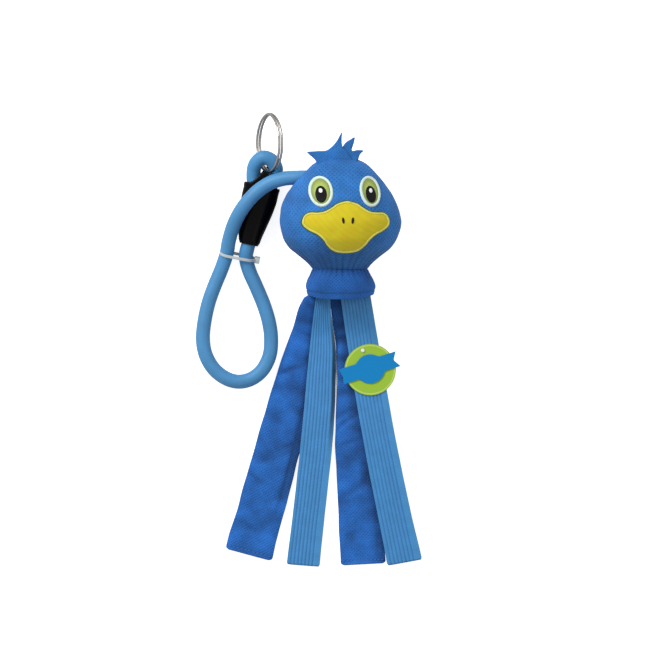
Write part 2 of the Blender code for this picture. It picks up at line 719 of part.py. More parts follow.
fabric_strap("left", LEFT_FABRIC_ROOT_X, LEFT_FABRIC_LENGTH, LEFT_FABRIC_ANGLE, LEFT_FABRIC_WIDTH_SHARES)
fabric_strap("right", RIGHT_FABRIC_ROOT_X, RIGHT_FABRIC_LENGTH, RIGHT_FABRIC_ANGLE, RIGHT_FABRIC_WIDTH_SHARES)
elastic_strap("left", LEFT_ELASTIC_ROOT_X, LEFT_ELASTIC_LENGTH, LEFT_ELASTIC_ANGLE, LEFT_ELASTIC_WIDTH_SHARES)
elastic_right = elastic_strap(
    "right", RIGHT_ELASTIC_ROOT_X, RIGHT_ELASTIC_LENGTH, RIGHT_ELASTIC_ANGLE, RIGHT_ELASTIC_WIDTH_SHARES
)

# Face: flat patches pressed onto the front of the head along the face's own direction
face = bpy.data.objects.new("face", None)
parts.objects.link(face)
face.rotation_euler = (0.0, FACE_TURN, 0.0)
face.location = (0.0, 0.0, HEAD_MIDDLE_Z)


def patch(name, outer, inner, rings, look, thick=PATCH_THICK, target=head_cover_front, gap=PATCH_GAP):
    """A patch between two outlines, or filling the outer one, wrapped on the target."""
    mesh = bpy.data.meshes.new(name)
    bm = bmesh.new()
    centre = Vector((sum(p[0] for p in outer) / len(outer), sum(p[1] for p in outer) / len(outer)))
    rows = []
    for k in range(rings + (inner is not None)):
        t = k / rings
        row = []
        for i, point in enumerate(outer):
            goal = inner[i] if inner is not None else centre
            row.append(bm.verts.new((point[0] + (goal[0] - point[0]) * t, point[1] + (goal[1] - point[1]) * t, PATCH_LIFT)))
        rows.append(row)
    for low, high in zip(rows, rows[1:]):
        for i in range(len(low)):
            j = (i + 1) % len(low)
            bm.faces.new((low[i], low[j], high[j], high[i]))
    if inner is None:
        tip = bm.verts.new((centre.x, centre.y, PATCH_LIFT))
        for i in range(len(rows[-1])):
            bm.faces.new((rows[-1][i], rows[-1][(i + 1) % len(rows[-1])], tip))
    bm.to_mesh(mesh)
    bm.free()
    smooth(mesh)
    obj = place(name, mesh, look)
    obj.parent = face
    wrap = obj.modifiers.new("on the head", "SHRINKWRAP")
    wrap.target = target
    wrap.wrap_method = "PROJECT"
    wrap.use_project_z = True
    wrap.use_negative_direction = True
    wrap.use_positive_direction = False
    wrap.wrap_mode = "ABOVE_SURFACE"
    wrap.offset = gap
    solidify(obj, thick, 1.0)
    return obj


# Beak outline, its right half mirrored, read from a smooth curve
half_beak = [(x * BEAK_WIDTH / 2, y * BEAK_HEIGHT / 2 - BEAK_DROP) for x, y in BEAK_SHARES]
loop = half_beak + [(-x, y) for x, y in half_beak[-2:0:-1]]
beak_outline = [tuple(p) for p in through(loop + loop[:2], 2)][1:2 * len(loop) + 1][::-1]
beak_inner = inset(beak_outline, BEAK_BORDER)
patch("beak_border", beak_outline, beak_inner, 1, BORDER_YELLOW)
beak_patch = patch("beak_patch", inset(beak_inner, GAP), None, 4, BEAK_YELLOW)

# Nostrils on the beak, eyes of four nested thread patches
for side, sign in (("left", -1), ("right", 1)):
    patch(
        "nostril_" + side, round_outline(NOSTRIL_WIDTH, NOSTRIL_HEIGHT, 12, (sign * NOSTRIL_SPACING / 2, -NOSTRIL_DROP)),
        None, 1, THREAD_BLACK, NOSTRIL_THICK, beak_patch, GAP,
    )
    middle = (sign * EYE_SPACING / 2, EYE_RISE)
    low = (middle[0], middle[1] - PUPIL_DROP)
    spark = (low[0], low[1] + GLINT_RISE)
    lean = sign * EYE_LEAN
    white_in = (EYE_WIDTH - 2 * EYE_RIM, EYE_HEIGHT - 2 * EYE_RIM)
    patch(
        side + "_eye_white", round_outline(EYE_WIDTH, EYE_HEIGHT, 28, middle, lean),
        round_outline(*white_in, 28, middle, lean), 1, THREAD_WHITE,
    )
    patch(
        side + "_eye_green", round_outline(white_in[0] - 2 * GAP, white_in[1] - 2 * GAP, 28, middle, lean),
        round_outline(PUPIL_WIDTH + 2 * GAP, PUPIL_HEIGHT + 2 * GAP, 28, low, lean), 1, THREAD_GREEN,
    )
    patch(
        side + "_eye_pupil", round_outline(PUPIL_WIDTH, PUPIL_HEIGHT, 20, low, lean),
        round_outline(GLINT_WIDTH + 2 * GAP, GLINT_HEIGHT + 2 * GAP, 20, spark, lean), 1, THREAD_BLACK,
    )
    patch(side + "_eye_glint", round_outline(GLINT_WIDTH, GLINT_HEIGHT, 12, spark, lean), None, 1, THREAD_WHITE)

# Tuft: two flat layers whose lower edge is cut to the head
head_clear_cutter = loft(
    "head_clear_cutter", [full_ring(row, 48) for row in head_rows], None, home=cutters
)
grow = head_clear_cutter.modifiers.new("clearance", "DISPLACE")
grow.strength = 2 * GAP
grow.mid_level = 0.0
for side, shares, forward in (("front", TUFT_FRONT_SHARES, TUFT_THICK + GAP), ("back", TUFT_BACK_SHARES, 0.0)):
    rows = [(TUFT_X + x * TUFT_WIDTH / 2, TUFT_BASE_Y + y * TUFT_HEIGHT) for x, y in shares]
    layer = flat_outline("tuft_" + side, [rows], TUFT_THICK, HEAD_BLUE)
    layer.location = (0.0, 0.0, HEAD_MIDDLE_Z + TUFT_FORWARD + forward)
    layer = meshed(layer)
    cut(layer, head_clear_cutter)

# Rubber tube: out of the head, over the clamp, round the loop and into the clamp's foot
tube("bungee_tube", through(TUBE_ROUTE, TUBE_STEPS)[:-1] + [TUBE_ROUTE[-1]], TUBE_DIAMETER, TUBE_BLUE)

# Clamp frame: u runs foot to mouth and v to its right
u = Vector((math.sin(CLAMP_ANGLE), math.cos(CLAMP_ANGLE), 0.0))
v = Vector((u.y, -u.x, 0.0))
up = Vector((0.0, 0.0, 1.0))
clamp_z = CLAMP_THICK / 2 + CLAMP_SPLIT / 2
foot = Vector((CLAMP_FOOT_X, CLAMP_FOOT_Y, clamp_z))
mouth = foot + u * CLAMP_LENGTH

for name, start, rise in (("clamp_upper_half", 0.0, CLAMP_SPLIT / 2), ("clamp_lower_half", math.pi, -CLAMP_SPLIT / 2)):
    rings = []
    for i in range(CLAMP_RINGS + 1):
        share = i / CLAMP_RINGS
        width, thick, squareness = along(CLAMP_SHARES, share)
        ring = []
        for j in range(CLAMP_POINTS_HALF + 1):
            x, z = oval(
                CLAMP_WIDTH / 2 * width, CLAMP_THICK / 2 * thick, squareness, start + math.pi * j / CLAMP_POINTS_HALF
            )
            ring.append(foot + u * CLAMP_LENGTH * share + v * x + up * (z + rise))
        rings.append(ring)
    half = loft(name, rings, CLAMP_BLACK, closed=False, capped=False)
    outward(half, foot + u * CLAMP_LENGTH / 2 - up * math.copysign(CLAMP_THICK, rise))
    solidify(half, CLAMP_WALL, -1.0)

# The fold above the mouth: up the right side, over, and down the left
join = TUBE_JOIN + GAP
fold = [
    (0.0, join - CLAMP_LENGTH, 0.0), (0.0, join + TUBE_DIAMETER / 2 - CLAMP_LENGTH, 0.0),
    (EYE_LEG_OFFSET * 0.3, -CLAMP_LENGTH * 0.45, 0.0), (EYE_LEG_OFFSET * 0.85, -CLAMP_LENGTH * 0.33, 0.0),
    (EYE_LEG_OFFSET, -LEG_DEPTH * 0.8, 0.0), (EYE_LEG_OFFSET, -LEG_DEPTH * 0.4, 0.0), (EYE_LEG_OFFSET, -LEG_DEPTH * 0.1, 0.0),
]
for degrees in FOLD_ANGLES:
    a = math.radians(degrees)
    x = FOLD_LEAN + FOLD_RADIUS * math.cos(a)
    y = FOLD_RISE - FOLD_RADIUS + FOLD_RADIUS * math.sin(a)
    climb = max((y - FOLD_START) / (FOLD_RISE - FOLD_START), 0.0)
    fold.append((x, y, FOLD_LIFT * climb))
fold += [(-EYE_LEG_OFFSET, -LEG_DEPTH * share, 0.0) for share in (0.1, 0.4, 0.7)]
fold_points = through([mouth + v * x + u * y + up * z for x, y, z in fold], EYE_STEPS)
tube("tube_eye", fold_points, TUBE_DIAMETER, TUBE_BLUE)

# Split ring: two turns of wire
radius = (RING_OUTER - RING_WIRE) / 2
e1 = Vector((math.cos(RING_TILT), 0.0, math.sin(RING_TILT)))
e2 = Vector((0.0, 1.0, 0.0))
ring_axis = e1.cross(e2)
ring_centre = Vector((RING_X, RING_Y, RING_Z))
ring_points = []
for i in range(RING_TURNS * RING_STEPS + 1):
    a = math.pi / 2 + 2 * math.pi * i / RING_STEPS
    across = RING_PITCH * (i / RING_STEPS - RING_TURNS / 2)
    ring_points.append(ring_centre + (e1 * math.cos(a) + e2 * math.sin(a)) * radius + ring_axis * across)
tube("split_ring", ring_points, RING_WIRE, RING_STEEL, 1)


def least_gap(points, diameter, apart):
    """The least clear distance of a tube to itself, between points further along it than the given length."""
    points = [Vector(p) for p in points]
    run = [0.0]
    for a, b in zip(points, points[1:]):
        run.append(run[-1] + (b - a).length)
    best = None
    for i, a in enumerate(points):
        for j in range(i + 1, len(points)):
            if run[j] - run[i] > apart:
                clear = (points[j] - a).length - diameter
                best = clear if best is None or clear < best else best
    return best


print("least gap of the ring's turns, mm:", round(least_gap(ring_points, RING_WIRE, RING_OUTER) * 1000, 3))
print("least gap of the fold's legs, mm:", round(least_gap(fold_points, TUBE_DIAMETER, TUBE_DIAMETER * 3) * 1000, 3))
nearest = min((Vector(a) - Vector(b)).length for a in ring_points for b in fold_points)
print("ring to fold, mm:", round((nearest - TUBE_DIAMETER / 2 - RING_WIRE / 2) * 1000, 3))

# Cable tie: a flat band round both strands, with its locking head
tie_in = TUBE_DIAMETER / 2 + TIE_CLEAR


def stadium(offset, count=10):
    found = []
    for side, turn in ((1, -math.pi / 2), (-1, math.pi / 2)):
        for i in range(count + 1):
            a = turn + math.pi * i / count
            found.append((side * TIE_SPACING / 2 + offset * math.cos(a), offset * math.sin(a)))
    return found


tie_frame = Matrix.Translation((TIE_X, TIE_Y, TIE_Z)) @ Matrix.Rotation(TIE_ANGLE, 4, "Z")
tie_frame = tie_frame @ Matrix.Rotation(math.pi / 2 + TIE_PITCH, 4, "X")
cable_tie = flat_outline("cable_tie", [stadium(tie_in + TIE_THICK), stadium(tie_in)], TIE_WIDTH, TIE_CLEAR_NYLON)
cable_tie.matrix_world = tie_frame
cable_tie = meshed(cable_tie)
tie_head = box("tie_head", (TIE_HEAD, TIE_HEAD_LONG, TIE_HEAD_LONG), (0.0, 0.0, 0.0), home=cutters)
tie_head.matrix_world = tie_frame @ Matrix.Translation(
    (TIE_SPACING / 2 + tie_in + TIE_THICK / 2 + TIE_HEAD / 2 - GAP, 0.0, 0.0)
)
cut(cable_tie, tie_head, "UNION")

# Hang tag: a round card with a band glued across it, on a pin through the strap
tag_z = ELASTIC_FLAT_Z + ELASTIC_THICK / 2 + GAP + TAG_THICK / 2
hole = (TAG_HOLE_X, TAG_HOLE_Y)
tag_disc = flat_outline(
    "tag_disc",
    [round_outline(TAG_DIAMETER, TAG_DIAMETER, 40), round_outline(PIN_DIAMETER + 2 * GAP, PIN_DIAMETER + 2 * GAP, 12, hole)],
    TAG_THICK, TAG_GREEN,
)
tag_disc.location = (TAG_X, TAG_Y, tag_z)
long_half, wide_half = TAG_BAND_LENGTH / 2, TAG_BAND_WIDTH / 2
tag_band = flat_outline(
    "tag_band",
    [[
        (long_half, -wide_half), (long_half - TAG_BAND_NOTCH, 0.0), (long_half, wide_half), (-long_half, wide_half),
        (TAG_BAND_NOTCH - long_half, 0.0), (-long_half, -wide_half),
    ]],
    TAG_THICK, TAG_BLUE,
)
tag_band.location = (TAG_X, TAG_Y, tag_z + TAG_THICK + GAP)
tag_band.rotation_euler = (0.0, 0.0, TAG_BAND_ANGLE)
pin_x, pin_y = TAG_X + TAG_HOLE_X, TAG_Y + TAG_HOLE_Y
pin_low = ELASTIC_FLAT_Z - ELASTIC_THICK / 2
pin_high = tag_z + TAG_THICK / 2 + GAP
pin_hole_cutter = rod(
    "pin_hole_cutter", PIN_DIAMETER + 2 * GAP, ELASTIC_THICK + 2 * CUT_OVERRUN, (pin_x, pin_y, ELASTIC_FLAT_Z),
    (0.0, 0.0, 1.0), home=cutters, sides=12,
)
cut(elastic_right, pin_hole_cutter)
profile = bpy.data.meshes.new("tag_pin")
bm = bmesh.new()
turned = [
    bm.verts.new(p) for p in (
        (0.0, 0.0, pin_high + PIN_HEAD_THICK), (PIN_HEAD_DIAMETER / 2 * 0.7, 0.0, pin_high + PIN_HEAD_THICK),
        (PIN_HEAD_DIAMETER / 2, 0.0, pin_high), (PIN_DIAMETER / 2, 0.0, pin_high), (PIN_DIAMETER / 2, 0.0, pin_low),
        (0.0, 0.0, pin_low),
    )
]
for a, b in zip(turned, turned[1:]):
    bm.edges.new((a, b))
bm.to_mesh(profile)
bm.free()
tag_pin = place("tag_pin", profile, PIN_WHITE)
tag_pin.location = (pin_x, pin_y, 0.0)
turn = tag_pin.modifiers.new("turned", "SCREW")
turn.steps = turn.render_steps = 12
turn.use_merge_vertices = True
turn.merge_threshold = 0.00001
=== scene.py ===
"""Bungee tug toy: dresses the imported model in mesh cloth, elastic, thread, rubber, moulded plastic and steel.

Metres, +Z up out of the face, +Y toward the crown. The toy lies on its back on a white floor.
"""

import math
import random

import bmesh
import bpy
from mathutils import Matrix, Vector, noise
from mathutils.bvhtree import BVHTree


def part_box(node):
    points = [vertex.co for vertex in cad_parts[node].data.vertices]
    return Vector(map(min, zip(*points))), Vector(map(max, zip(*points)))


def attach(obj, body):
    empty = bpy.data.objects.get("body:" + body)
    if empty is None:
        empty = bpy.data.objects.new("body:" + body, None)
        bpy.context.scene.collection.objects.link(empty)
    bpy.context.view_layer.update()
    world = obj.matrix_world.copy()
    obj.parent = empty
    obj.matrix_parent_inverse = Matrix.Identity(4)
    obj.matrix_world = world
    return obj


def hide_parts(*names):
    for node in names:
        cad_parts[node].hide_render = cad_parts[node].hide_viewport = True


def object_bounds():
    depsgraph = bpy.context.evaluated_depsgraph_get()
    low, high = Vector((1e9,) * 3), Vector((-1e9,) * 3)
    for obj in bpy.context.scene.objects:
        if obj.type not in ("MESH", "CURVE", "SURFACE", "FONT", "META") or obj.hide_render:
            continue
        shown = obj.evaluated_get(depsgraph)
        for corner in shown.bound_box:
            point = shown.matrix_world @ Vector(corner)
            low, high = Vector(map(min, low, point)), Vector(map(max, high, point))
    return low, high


bl_info = {
    "name": "Bungee Tug Toy",
    "version": (1, 0, 0),
    "blender": (4, 5, 0),
    "location": "3D View > Sidebar > Tug Toy",
    "description": "Adds the finished pieces of a stuffed tug toy to its construction model",
    "category": "Add Mesh",
}

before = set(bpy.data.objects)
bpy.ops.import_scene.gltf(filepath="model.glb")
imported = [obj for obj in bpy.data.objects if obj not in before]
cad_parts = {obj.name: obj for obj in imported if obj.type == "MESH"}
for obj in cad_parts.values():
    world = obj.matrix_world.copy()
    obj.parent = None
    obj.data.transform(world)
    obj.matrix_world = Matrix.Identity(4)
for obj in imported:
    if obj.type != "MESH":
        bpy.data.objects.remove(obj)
CAD_BOX = [list(corner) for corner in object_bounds()]
MM = 0.001

# Head profile from crown to neck pinch: height above the pinch, half width, half depth, height of the middle
HEAD_SHARES = (
    (1.0, 0.0, 0.0, 0.965), (0.993, 0.17, 0.17, 0.965), (0.972, 0.33, 0.33, 0.965),
    (0.927, 0.48, 0.475, 0.965), (0.853, 0.617, 0.61, 0.965), (0.766, 0.75, 0.745, 0.965),
    (0.623, 0.91, 0.91, 0.972), (0.51, 0.98, 0.98, 0.99), (0.427, 1.0, 1.0, 1.0),
    (0.29, 0.952, 0.952, 0.985), (0.193, 0.852, 0.85, 0.925), (0.116, 0.683, 0.70, 0.83),
    (0.051, 0.548, 0.55, 0.757), (0.0, 0.467, 0.42, 0.70),
)
# Collar from pinch to hem: place along it, half width, half depth, fall of the middle, squareness
COLLAR_SHARES = (
    (0.2, 0.875, 0.965, 0.18, 2.1), (0.44, 0.962, 0.99, 0.40, 2.4), (0.69, 1.0, 1.0, 0.65, 2.7),
    (0.87, 0.988, 0.97, 0.85, 3.2), (1.0, 0.963, 0.95, 1.0, 3.4),
)
HEAD_WIDTH = 84.0 * MM
HEAD_DEPTH = 64.0 * MM
HEAD_LENGTH = 78.3 * MM
PINCH_Y = -38.8 * MM
HEAD_MIDDLE_Z = 31.65 * MM
PINCH_MIDDLE_Z = HEAD_MIDDLE_Z * HEAD_SHARES[-1][3]
COLLAR_LENGTH = 18.7 * MM
COLLAR_WIDTH = 48.2 * MM
COLLAR_DEPTH = 30.0 * MM
COLLAR_DROP = 5.5 * MM
HEM_Y = PINCH_Y - COLLAR_LENGTH
FLOOR_CLEAR = 0.05 * MM

# Angles round the head and the collar, from the middle of the back toward +X
AROUND = 216
ANGLES = [-math.pi / 2 + 2 * math.pi * i / AROUND for i in range(AROUND)]

# Face, turned to the right on the head
FACE_TURN = math.radians(10.0)
FACE = Matrix.Translation((0.0, 0.0, HEAD_MIDDLE_Z)) @ Matrix.Rotation(FACE_TURN, 4, "Y")
BEAK_SHARES = (
    (0.0, 1.0), (0.22, 0.906), (0.36, 0.75), (0.51, 0.61), (0.67, 0.56), (0.83, 0.56), (0.95, 0.44),
    (1.0, 0.2), (0.965, 0.03), (0.84, -0.14), (0.665, -0.30), (0.53, -0.50), (0.435, -0.71), (0.27, -0.925),
    (0.0, -1.0),
)

# Tuft outlines: shares of the half width and of the height, over the middle of the tuft's foot
TUFT_WIDTH = 41.8 * MM
TUFT_HEIGHT = 26.6 * MM
TUFT_FOOT = (-3.4 * MM, 30.7 * MM)
TUFT_FRONT_SHARES = (
    (-0.96, 0.455), (-0.66, 0.487), (-0.33, 0.50), (-0.14, 0.585), (0.05, 0.75), (0.235, 1.0),
    (0.225, 0.80), (0.255, 0.60), (0.42, 0.44), (0.60, 0.20), (0.4, 0.02), (-0.1, 0.0), (-0.55, 0.06),
    (-0.66, 0.24), (-0.82, 0.36),
)
TUFT_BACK_SHARES = (
    (0.05, 0.30), (0.25, 0.60), (0.36, 0.72), (0.50, 0.79), (0.66, 0.853), (0.63, 0.69), (0.565, 0.50),
    (0.75, 0.52), (0.955, 0.50), (0.84, 0.40), (0.75, 0.22), (0.55, 0.06), (0.2, 0.02),
)

# Strap layers: middle of each at the collar and where it lies flat
STRAP_ROOT_Y = HEM_Y - 0.3 * MM
STRAP_HINGE_Y = STRAP_ROOT_Y - 2.2 * MM
STRAP_DROOP = 28.0 * MM
FABRIC_ROOT_Z = 8.2 * MM
FABRIC_THICK = 3.4 * MM
FABRIC_WIDTH = 32.0 * MM
ELASTIC_ROOT_Z = 12.6 * MM
ELASTIC_THICK = 2.0 * MM
ELASTIC_WIDTH = 22.4 * MM
ELASTIC_FLAT_Z = FABRIC_THICK + 0.3 * MM + ELASTIC_THICK / 2
# Seam across the fabric straps' ends
SEAM_SHARE = 0.985
SEAM_INSET = 2.4 * MM
SEAM_LIFT = 1.15 * MM
# Root place across, length, angle in degrees, and the width along the strap as shares
FABRIC_STRAPS = {
    "left": (
        -14.5 * MM, 187.5 * MM, 15.3,
        ((0.0, 0.45), (0.06, 0.62), (0.155, 0.78), (0.3, 0.90), (0.5, 0.97), (1.0, 1.035)),
    ),
    "right": (
        6.6 * MM, 187.7 * MM, -3.0,
        ((0.0, 0.79), (0.06, 0.76), (0.155, 0.80), (0.3, 0.88), (0.5, 0.95), (1.0, 1.0)),
    ),
}
# How far the right fabric strap's left edge stands off, beside the left elastic, along the strap
RIGHT_STRAP_EDGE = (
    (0.0, -1.6 * MM), (0.05, -1.1 * MM), (0.087, -0.6 * MM), (0.13, 0.5 * MM), (0.172, 1.5 * MM),
    (0.215, 2.0 * MM), (0.30, 2.3 * MM), (0.365, 1.9 * MM), (0.55, 0.0), (1.0, 0.0),
)
ELASTIC_STRAPS = {
    "left": (
        -11.8 * MM, 188.8 * MM, 4.25, ((0.0, 0.44), (0.155, 0.66), (0.365, 0.82), (0.65, 0.94), (1.0, 1.03)),
    ),
    "right": (
        10.9 * MM, 189.4 * MM, -10.5, ((0.0, 0.93), (0.1, 0.95), (0.3, 0.98), (0.8, 1.03), (1.0, 1.09)),
    ),
}

# Rubber tube's route, in metres: out of the head, over the clamp, round the loop and into the clamp's foot
TUBE_EXIT = (-0.0360, 0.0248, 0.0278)
TUBE_ROUTE = (
    (-0.0143, 0.0253, 0.0290), (-0.0225, 0.0253, 0.0290), (-0.0303, 0.0251, 0.0287),
    (-0.0387, 0.0245, 0.0270), (-0.0478, 0.0219, 0.0247), (-0.0562, 0.0167, 0.0234),
    (-0.0632, 0.0100, 0.0230), (-0.0695, 0.0016, 0.0206), (-0.0744, -0.0082, 0.0162),
    (-0.0776, -0.0187, 0.0110), (-0.0793, -0.0278, 0.0072), (-0.0828, -0.0383, 0.0054),
    (-0.0877, -0.0502, 0.00505), (-0.0919, -0.0621, 0.00505), (-0.0947, -0.0747, 0.00505),
    (-0.0959, -0.0873, 0.00505), (-0.0940, -0.0985, 0.00505), (-0.0884, -0.1083, 0.00505),
    (-0.0800, -0.1149, 0.00505), (-0.0709, -0.1174, 0.00505), (-0.0618, -0.1153, 0.00505),
    (-0.0541, -0.1090, 0.00505), (-0.0492, -0.0988, 0.00505), (-0.0482, -0.0873, 0.00505),
    (-0.0496, -0.0761, 0.00505), (-0.0531, -0.0642, 0.00505), (-0.0583, -0.0516, 0.00505),
    (-0.0634, -0.0400, 0.0054), (-0.0657, -0.0306, 0.0067), (-0.0650, -0.0250, 0.0083),
    (-0.0635, -0.0197, 0.00895), (-0.0612, -0.0098, 0.00895),
)

# Tube's fold, across, along and above the clamp's mouth: up from inside the clamp, an arc, and down again
FOLD_LEG = 5.5 * MM
FOLD_UP = (
    (0.0, -30.2 * MM, 0.0), (0.0, -25.2 * MM, 0.0), (1.65 * MM, -19.1 * MM, 0.0),
    (4.7 * MM, -14.0 * MM, 0.0), (FOLD_LEG, -9.6 * MM, 0.0), (FOLD_LEG, -4.8 * MM, 0.0),
    (FOLD_LEG, -1.2 * MM, 0.0),
)
FOLD_DOWN = (
    (-7.2 * MM, 4.0 * MM, 0.0), (-FOLD_LEG, -1.2 * MM, 0.0), (-FOLD_LEG, -4.8 * MM, 0.0),
    (-FOLD_LEG, -8.4 * MM, 0.0),
)
FOLD_RADIUS = 9.0 * MM
FOLD_TOP = 19.4 * MM
# Where the arc starts to climb off the clamp's plane, and also how far it climbs
FOLD_CLIMB = 6.0 * MM

# Clamp frame: foot, direction to the mouth and the way to its right
CLAMP_LENGTH = 42.5 * MM
CLAMP_WIDTH = 25.2 * MM
CLAMP_THICK = 17.2 * MM
CLAMP_SPLIT = 0.7 * MM
CLAMP_WALL = 1.1 * MM
CLAMP_ANGLE = math.radians(13.0)
CLAMP_FOOT = Vector((-63.9 * MM, -21.5 * MM, (CLAMP_THICK + CLAMP_SPLIT) / 2))
CLAMP_ALONG = Vector((math.sin(CLAMP_ANGLE), math.cos(CLAMP_ANGLE), 0.0))
CLAMP_ACROSS = Vector((CLAMP_ALONG.y, -CLAMP_ALONG.x, 0.0))
CLAMP_MOUTH = CLAMP_FOOT + CLAMP_ALONG * CLAMP_LENGTH
UP = Vector((0.0, 0.0, 1.0))
# The cable tie's left loop is drawn in beyond this place, so that it lies on the tube
TIE_TURN = -79.0 * MM
TIE_DRAWN = 0.7
# Split ring: its middle, its slant and the rise from coil to coil
RING_MIDDLE = Vector((-49.2 * MM, 49.7 * MM, 19.8 * MM))
RING_TILT = math.radians(65.5)
RING_PITCH = 2.2 * MM
# Foot to mouth: place along it, half width, half thickness, squareness
CLAMP_SHARES = (
    (0.0, 0.575, 0.80, 2.0), (0.12, 0.62, 0.83, 2.0), (0.35, 0.77, 0.90, 2.1), (0.6, 0.93, 0.98, 2.3),
    (0.8, 1.0, 1.0, 2.5), (1.0, 0.992, 0.99, 2.6),
)


def hue(name, description, code):
    """A colour setting."""
    return bpy.props.StringProperty(name=name, description="sRGB hex of " + description, default=code)


def size(name, description, millimetres):
    """A length setting."""
    return bpy.props.FloatProperty(
        name=name, description=description, default=millimetres * MM, unit="LENGTH",
    )


class ClothSettings(bpy.types.PropertyGroup):
    """Head, collar, tuft and fabric straps."""

    head_blue: hue("Head blue", "the head's cloth", "2a73bc")
    blue: hue("Strap blue", "the straps' cloth", "2571cc")
    pore_blue: hue("Pore blue", "the pores of the cloth", "1a4f9f")
    head_pitch: size("Head pore spacing", "From pore to pore on the head", 2.3)
    strap_pitch: size("Strap pore spacing", "From pore to pore on the straps", 1.7)
    gathers: bpy.props.IntProperty(name="Neck gathers", description="Folds round the neck", default=34)
    gather_depth: size("Gather depth", "Depth of the folds at the neck", 1.1)
    crease_depth: size("Crease depth", "Depth of the creases across the fabric straps", 0.9)


class FaceSettings(bpy.types.PropertyGroup):
    """Beak and eyes."""

    beak: hue("Beak yellow", "the beak", "d3c41a")
    border: hue("Border yellow", "the beak's stitching", "e2dc5e")
    rim: hue("Eye rim", "the thread round the eyes", "d8ecdf")
    iris: hue("Eye green", "the green thread", "a9bd58")
    beak_width: size("Beak width", "Across the beak", 60.4)
    beak_height: size("Beak height", "Up the beak", 35.6)
    beak_drop: size("Beak drop", "Below the face's middle", 9.5)
    eye_width: size("Eye width", "Across the white rim", 16.1)
    eye_height: size("Eye height", "Up the white rim", 21.6)
    eye_spacing: size("Eye spacing", "Between the eyes", 34.2)
    eye_rise: size("Eye rise", "Above the face's middle", 15.2)
    eye_rim: size("Rim width", "Width of the white rim", 2.1)
    thread: size("Thread spacing", "Between satin stitches", 0.75)


class StrapSettings(bpy.types.PropertyGroup):
    """Ribbed elastic."""

    blue: hue("Elastic blue", "the ribs", "408cc7")
    groove: hue("Groove blue", "the grooves between the ribs", "246eb6")
    ribs: bpy.props.IntProperty(name="Ribs", description="Ribs across the band", default=9)
    groove_depth: size("Groove depth", "Depth of the grooves", 0.42)


class TubeSettings(bpy.types.PropertyGroup):
    """Tube, clamp, tie and ring."""

    blue: hue("Tube blue", "the rubber", "4a8cbf")
    diameter: size("Tube diameter", "Across the tube", 10.0)
    ring_outer: size("Ring size", "Across the ring outside", 42.2)
    ring_wire: size("Wire", "Diameter of the ring's wire", 1.7)


class TagSettings(bpy.types.PropertyGroup):
    """Hang tag."""

    green: hue("Tag green", "the disc", "9cc33b")
    blue: hue("Tag blue", "the band", "0482c4")


class StageSettings(bpy.types.PropertyGroup):
    """Floor, lamps and camera."""

    view_x: size("View across", "Middle of the view", -5.2)
    view_y: size("View along", "Middle of the view", -83.0)
    field: size("Field", "Width that the view takes in", 465.5)
    distance: size("Distance", "Camera above the toy", 12000.0)
    sky: bpy.props.FloatProperty(name="Sky", description="Light from all round", default=0.42)
    floor_glow: bpy.props.FloatProperty(name="Floor glow", description="White seen on the floor", default=0.8)
    key: bpy.props.FloatProperty(
        name="Key lamp", description="Power of the main lamp", default=17.8, unit="POWER",
    )


GROUPS = {
    "tug_cloth": ClothSettings, "tug_face": FaceSettings, "tug_elastic": StrapSettings,
    "tug_tube": TubeSettings, "tug_tag": TagSettings, "tug_stage": StageSettings,
}


def linear(code):
    """An sRGB hex colour as linear red, green, blue and alpha."""
    found = []
    for i in (0, 2, 4):
        share = int(code[i:i + 2], 16) / 255
        found.append(share / 12.92 if share <= 0.04045 else ((share + 0.055) / 1.055) ** 2.4)
    return (*found, 1.0)


def feed(node, inputs):
    """Sets inputs. Each is a value, the socket that feeds it, or the node whose first output feeds it."""
    for key, value in inputs.items():
        if isinstance(value, bpy.types.Node):
            value = value.outputs[0]
        if isinstance(value, bpy.types.NodeSocket):
            node.id_data.links.new(value, node.inputs[key])
        else:
            node.inputs[key].default_value = value


def add(tree, kind, inputs=None, **settings):
    """Adds a node with its settings and links. A kind without Node in its name is a shader node."""
    node = tree.nodes.new(kind if "Node" in kind else "ShaderNode" + kind)
    for key, value in settings.items():
        setattr(node, key, value)
    feed(node, inputs or {})
    return node


def finish_named(name, **sockets):
    """A new material, its tree and its surface shader, with the shader's own sockets set."""
    made = bpy.data.materials.new(name)
    made.use_nodes = True
    shader = made.node_tree.nodes["Principled BSDF"]
    feed(shader, {key.replace("_", " "): value for key, value in sockets.items()})
    return made, made.node_tree, shader


def surface(tree, shader, colour, shade, height, strength, depth):
    """Gives the shader a colour times a shade, and a bump of a strength and a depth in millimetres."""
    feed(shader, {
        "Base Color": add(tree, "VectorMath", {0: colour, "Scale": shade}, operation="SCALE"),
        "Normal": add(tree, "Bump", {"Height": height, "Strength": strength, "Distance": depth * MM}),
    })


def mottle(tree, place, grain, detail, low, high, spread=0.2):
    """A factor that wanders from low to high in soft lumps, whose grain is in millimetres."""
    lump = add(tree, "TexNoise", {"Vector": place, "Scale": 1 / (grain * MM), "Detail": detail})
    return add(tree, "MapRange", {
        "Value": lump, "From Min": 0.5 - spread, "From Max": 0.5 + spread, "To Min": low, "To Max": high,
    })


